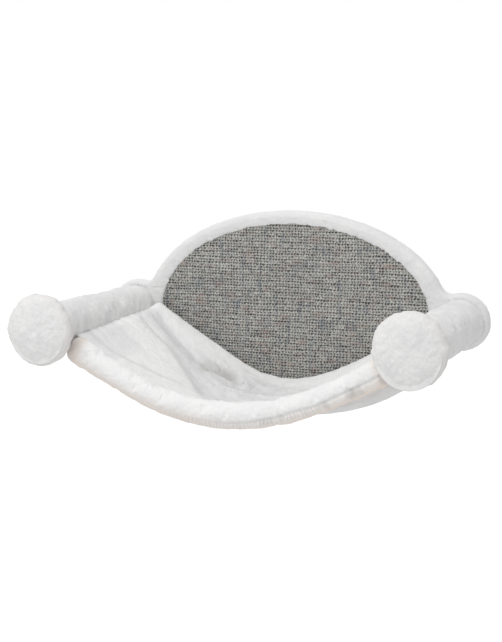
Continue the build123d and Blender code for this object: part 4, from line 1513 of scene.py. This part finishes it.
    def hanging_tube(self, x: Array, node: str, middle: float, end: float, softness: float) -> Tube:
        """A tube without a size along a hanging edge, as far out as a solid's middle.

        Args:
            x: places along the edge, one to a row.
            node: the solid.
            middle: the edge's height in its middle.
            end: its height at its ends.
            softness: how wide its round part is.

        Returns:
            The tube, with its slopes and with half sizes of 0.
        """
        step = 0.0005
        low, level, high = (self.hanging(x + move, middle, end, self.tube_end_x, softness)
                            for move in (-step, 0.0, step))
        return Tube(x, Solid(node).middle_out, level, (high - low) / (2 * step), 0 * x, 0 * x)

    def hem(self) -> None:
        """The narrow hem along the bed's back edge: a thin hanging tube with a little swelling."""
        reach = self.tube_end_x - self.hem_inset
        x = np.linspace(-reach, reach, 330)[:, None]
        turn = full_turn(30)
        tube = self.hanging_tube(x, "back_hem", -self.dip, self.back_edge - self.hem_radius, self.back_softness)
        off_tip = smooth_step(reach - np.abs(x), 0.0, self.tip_length)
        height = tube.height + self.back_edge_moves(x) * off_tip - self.tip_drop * (1 - off_tip)
        size = self.hem_radius + self.hem_swell * layered_noise(joined(x, 0, 0), 0.014, 2, 171)
        points = replace(tube, height=height, half_depth=size, half_height=size).points(turn)
        points = add_pile(points, grid_normals(points, wrap_columns=True), self.tube_pile, 181)
        piece = closed_tube("back_hem_cloth", points, joined(x, turn * self.hem_radius), {"crease_shade": 0 * (x + turn)})
        dress(piece, LIT_HAMMOCK_PLUSH, "back_hem")

    def roll(self) -> None:
        """The padded roll along the front edge: its cover, with a gathered seam low on the front, and its filling.

        The cover is an oval tube along a hanging curve, fuller in the middle and sagging a little on the left. Slow
        noise swells it. A groove at the seam's angle draws it in, deeper to the right. Noise with short cells gathers
        the cloth beside the seam, and even ribs stand where it is stitched in the middle. Painted shade darkens the
        groove, the gathers, the gaps between the ribs and the ends, and paints short tuck folds to the right of the
        ribs. The ends round off inside the sleeves.
        """
        length, turn = self.tube_end_x - self.roll_gap, full_turn(104)
        share = np.linspace(-1, 1, 560)[:, None]
        x = share * length
        tube = self.hanging_tube(x, "front_roll", -self.dip - self.roll_drop, self.front_edge - self.roll_end_drop,
                                 self.roll_softness)
        fuller = self.roll_fullness * bell(x - 0.005, 0.085)
        tall = self.roll_height + (self.roll_end_size - self.roll_height) * share**2 + fuller
        tube = replace(tube, height=tube.height - self.roll_sag * bell(x + 0.10, 0.06) + fuller,
                       half_depth=self.roll_depth + 0 * x, half_height=tall)
        cap = np.clip((np.abs(x) - length + self.roll_cap) / self.roll_cap, 0, 1)
        taper = np.sqrt(np.maximum(1 - cap**2, 0.03))

        ring = joined(x, np.cos(turn) * self.roll_depth, np.sin(turn) * self.roll_depth)
        seam = np.interp(x, self.roll_seam_places, self.roll_seam_angles)
        seam = seam + 0.10 * layered_noise(x[..., None] * [1, 0, 0], (0.03, 1, 1), 2, 261)
        from_seam = angle_from(turn, seam)
        swell = layered_noise(ring, (0.045, 0.02, 0.02), 2, 191)
        groove = bell(from_seam, 0.13) * (0.10 + 0.90 * smooth_step(x, -0.08, 0.05))
        gathers = layered_noise(ring, (0.0060, 0.2, 0.2), 2, 201) * bell(from_seam + 0.25, 0.5)
        gathers = gathers * (0.4 + 0.6 * smooth_step(x, -0.05, 0.06))
        stitched = bell(from_seam + 0.28, 0.32) * smooth_step(x, -0.085, -0.045) * (1 - smooth_step(x, 0.10, 0.15))
        ribs = stitched * np.cos(2 * math.pi * x / self.rib_pitch + 4.0 * layered_noise(ring, 0.010, 2, 281))
        wrinkles = layered_noise(ring, (0.015, 0.03, 0.03), 2, 211) * bell(from_seam + 0.95, 0.9)
        # The tuck marks exist only as painted shade; they don't move the surface.
        tuck_shade = layered_noise(ring, (0.009, 0.2, 0.2), 2, 291) * bell(from_seam + 0.32, 0.45)
        tuck_shade = tuck_shade * smooth_step(x, 0.05, 0.08)
        extra = (self.swell_height * swell - self.groove_depth * groove + self.roll_gathers * gathers
                 + self.rib_height * ribs + self.wrinkle_height * wrinkles)
        points = tube.points(turn, self.roll_inset - extra, taper)
        held = np.maximum(0.9 * bell(from_seam, 0.30), smooth_step(cap, 0.2, 0.9))
        points = self.stuffing.puffed(points, held, 4)
        points = add_pile(points, grid_normals(points, wrap_columns=True), self.tube_pile, 221)

        at_end = np.abs(x) - length
        # Painted shade in the seam's groove, in the gathers, between the ribs, in short tuck folds to their right, and
        # at both ends.
        crease_shade = 0.22 * groove + 0.20 * smooth_step(-gathers, 0.12, 0.6) + 0.26 * smooth_step(-ribs, 0.1, 0.8)
        crease_shade = crease_shade + 0.34 * smooth_step(-tuck_shade, 0.02, 0.45) + 0.38 * smooth_step(at_end, -0.020, -0.008)
        # Warm tint low on the front and underneath, partly the cloth's own beige and partly painted warm shade;
        # painted warm shade at both ends.
        front = smooth_step(from_seam, -2.6, -2.0)
        warm = (0.35 * smooth_step(-from_seam, -0.05, 0.2) + 0.65 * smooth_step(-from_seam, 0.2, 1.0)) * front
        down = smooth_step(-(from_seam + seam), -0.3, 0.9) * front
        warm = np.maximum(warm, 0.8 * down * smooth_step(-x, -0.05, 0.05)) + 0.9 * smooth_step(at_end, -0.024, -0.008)
        uv = joined(x, turn * self.roll_height)
        few, few_turn, few_taper = tube.every(4), turn[:, ::4], taper[::4]
        wall = few.points(few_turn, self.roll_wall, few_taper)
        marks = {"crease_shade": np.clip(crease_shade, 0, 1), "warm": np.clip(warm, 0, 1)}
        piece = closed_tube("front_roll_cover", points, uv, marks, hollow=wall[:, ::-1])
        dress(piece, LIT_HAMMOCK_PLUSH, "front_roll")

        filling = few.points(few_turn, self.roll_wall + self.filling_gap, few_taper)
        wadding = closed_tube("roll_wadding", filling, uv[::4, ::4], {})
        dress(wadding, WADDING, "roll_filling")


def dress_solids() -> None:
    """Give every solid that still shows its own finish."""
    finishes = {
        "back_board": FIBREBOARD, "end_disc_core": FIBREBOARD, "arm_tube": CARDBOARD,
        "arm_rear_plug": TURNED_WOOD, "arm_front_plug": TURNED_WOOD,
    }
    made: dict[Finish, bpy.types.Material] = {}
    for name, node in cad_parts.items():
        finish = next((finishes[start] for start in finishes if name.startswith(start)), ZINC)
        if finish not in made:
            made[finish] = finish.material()
        node.data.materials.clear()
        node.data.materials.append(made[finish])


@dataclass(frozen=True)
class Lamp:
    """A square soft lamp that points at a target. Power is in watts, the rest in metres."""

    name: str
    place: Triple
    target: Triple
    size: float
    power: float

    def build(self) -> None:
        """Add the lamp to the scene."""
        data = bpy.data.lights.new(self.name, "AREA")
        data.size = self.size
        data.energy = self.power
        lamp = bpy.data.objects.new(self.name, data)
        lamp.location = self.place
        lamp.rotation_euler = (Vector(self.target) - Vector(self.place)).to_track_quat("-Z", "Y").to_euler()
        bpy.context.scene.collection.objects.link(lamp)


@dataclass(frozen=True)
class Studio:
    """The plain pale floor, the soft lights and the camera at the photograph's angle."""

    camera_place: Triple = (0.546, -1.5778, 0.2299)
    yaw: float = 0.369
    pitch: float = 0.144
    focal_pixels: float = 1250.4
    picture_height: float = 642.0
    sensor: float = 36.0
    lamps: tuple[Lamp, ...] = (Lamp("key", (-0.52, -1.27, 2.26), (0.0, -0.1, -0.02), 1.2, 24.0),
                               Lamp("fill", (-0.10, -1.75, -0.60), (0.05, -0.1, -0.03), 1.1, 3.0))
    floor_height: float = -1.6
    floor_half: float = 12.0
    floor_paint: Colour = (0.86, 0.86, 0.86)
    floor_glow: float = 0.5
    world_light: float = 0.70

    def build(self) -> None:
        """Make the floor, the world, the lamps and the camera."""
        self.floor()
        self.world()
        for lamp in self.lamps:
            lamp.build()
        self.camera()

    def floor(self) -> None:
        """A wide pale floor, raised to white for the camera's rays, with the object's soft shadow on it."""
        corners = self.floor_half * np.array([[-1.0, -1, 0], [1, -1, 0], [1, 1, 0], [-1, 1, 0]])
        piece = mesh_piece("floor", corners + [0, 0, self.floor_height], np.array([[0, 1, 2, 3]]))
        sheet = NodeSheet("floor_paint")
        piece.data.materials.append(sheet.finish(self.floor_paint, 0.9))
        glow = sheet.node("Emission", Strength=sheet.calc("MULTIPLY", sheet.seen(), self.floor_glow))
        both = sheet.node("AddShader")
        sheet.feed(both.inputs[0], sheet.shader.outputs["BSDF"])
        sheet.feed(both.inputs[1], glow.outputs["Emission"])
        sheet.feed(sheet.nodes["Material Output"].inputs["Surface"], both.outputs["Shader"])

    def world(self) -> None:
        """Even white light from all round; the camera, gloss and glass see plain white."""
        world = bpy.data.worlds.new("studio")
        bpy.context.scene.world = world
        world.use_nodes = True
        kit = NodeKit(world.node_tree)
        background = kit.nodes["Background"]
        kit.feed(background.inputs["Color"], (1.0, 1.0, 1.0))
        kit.feed(background.inputs["Strength"], kit.ramp(kit.seen(), 0.0, 1.0, self.world_light, 1.0))

    def camera(self) -> None:
        """The camera, placed and turned as the photograph's."""
        data = bpy.data.cameras.new("camera")
        data.sensor_width = self.sensor
        data.lens = self.focal_pixels * self.sensor / self.picture_height
        data.clip_end = 50.0
        camera = bpy.data.objects.new("camera", data)
        camera.location = self.camera_place
        camera.rotation_euler = (math.pi / 2 - self.pitch, 0.0, self.yaw)
        bpy.context.scene.collection.objects.link(camera)
        bpy.context.scene.camera = camera


def main() -> None:
    """Build the pieces in order, then the studio."""
    logging.basicConfig(level=logging.INFO)
    bpy.context.scene.view_settings.view_transform = "Standard"
    sizes = Sizes()
    dress_solids()
    Board(sizes).build()
    for side in Side:
        Arm(sizes, side).build()
    Bed(sizes).build()
    Studio().build()


if __name__ == "__main__":
    main()
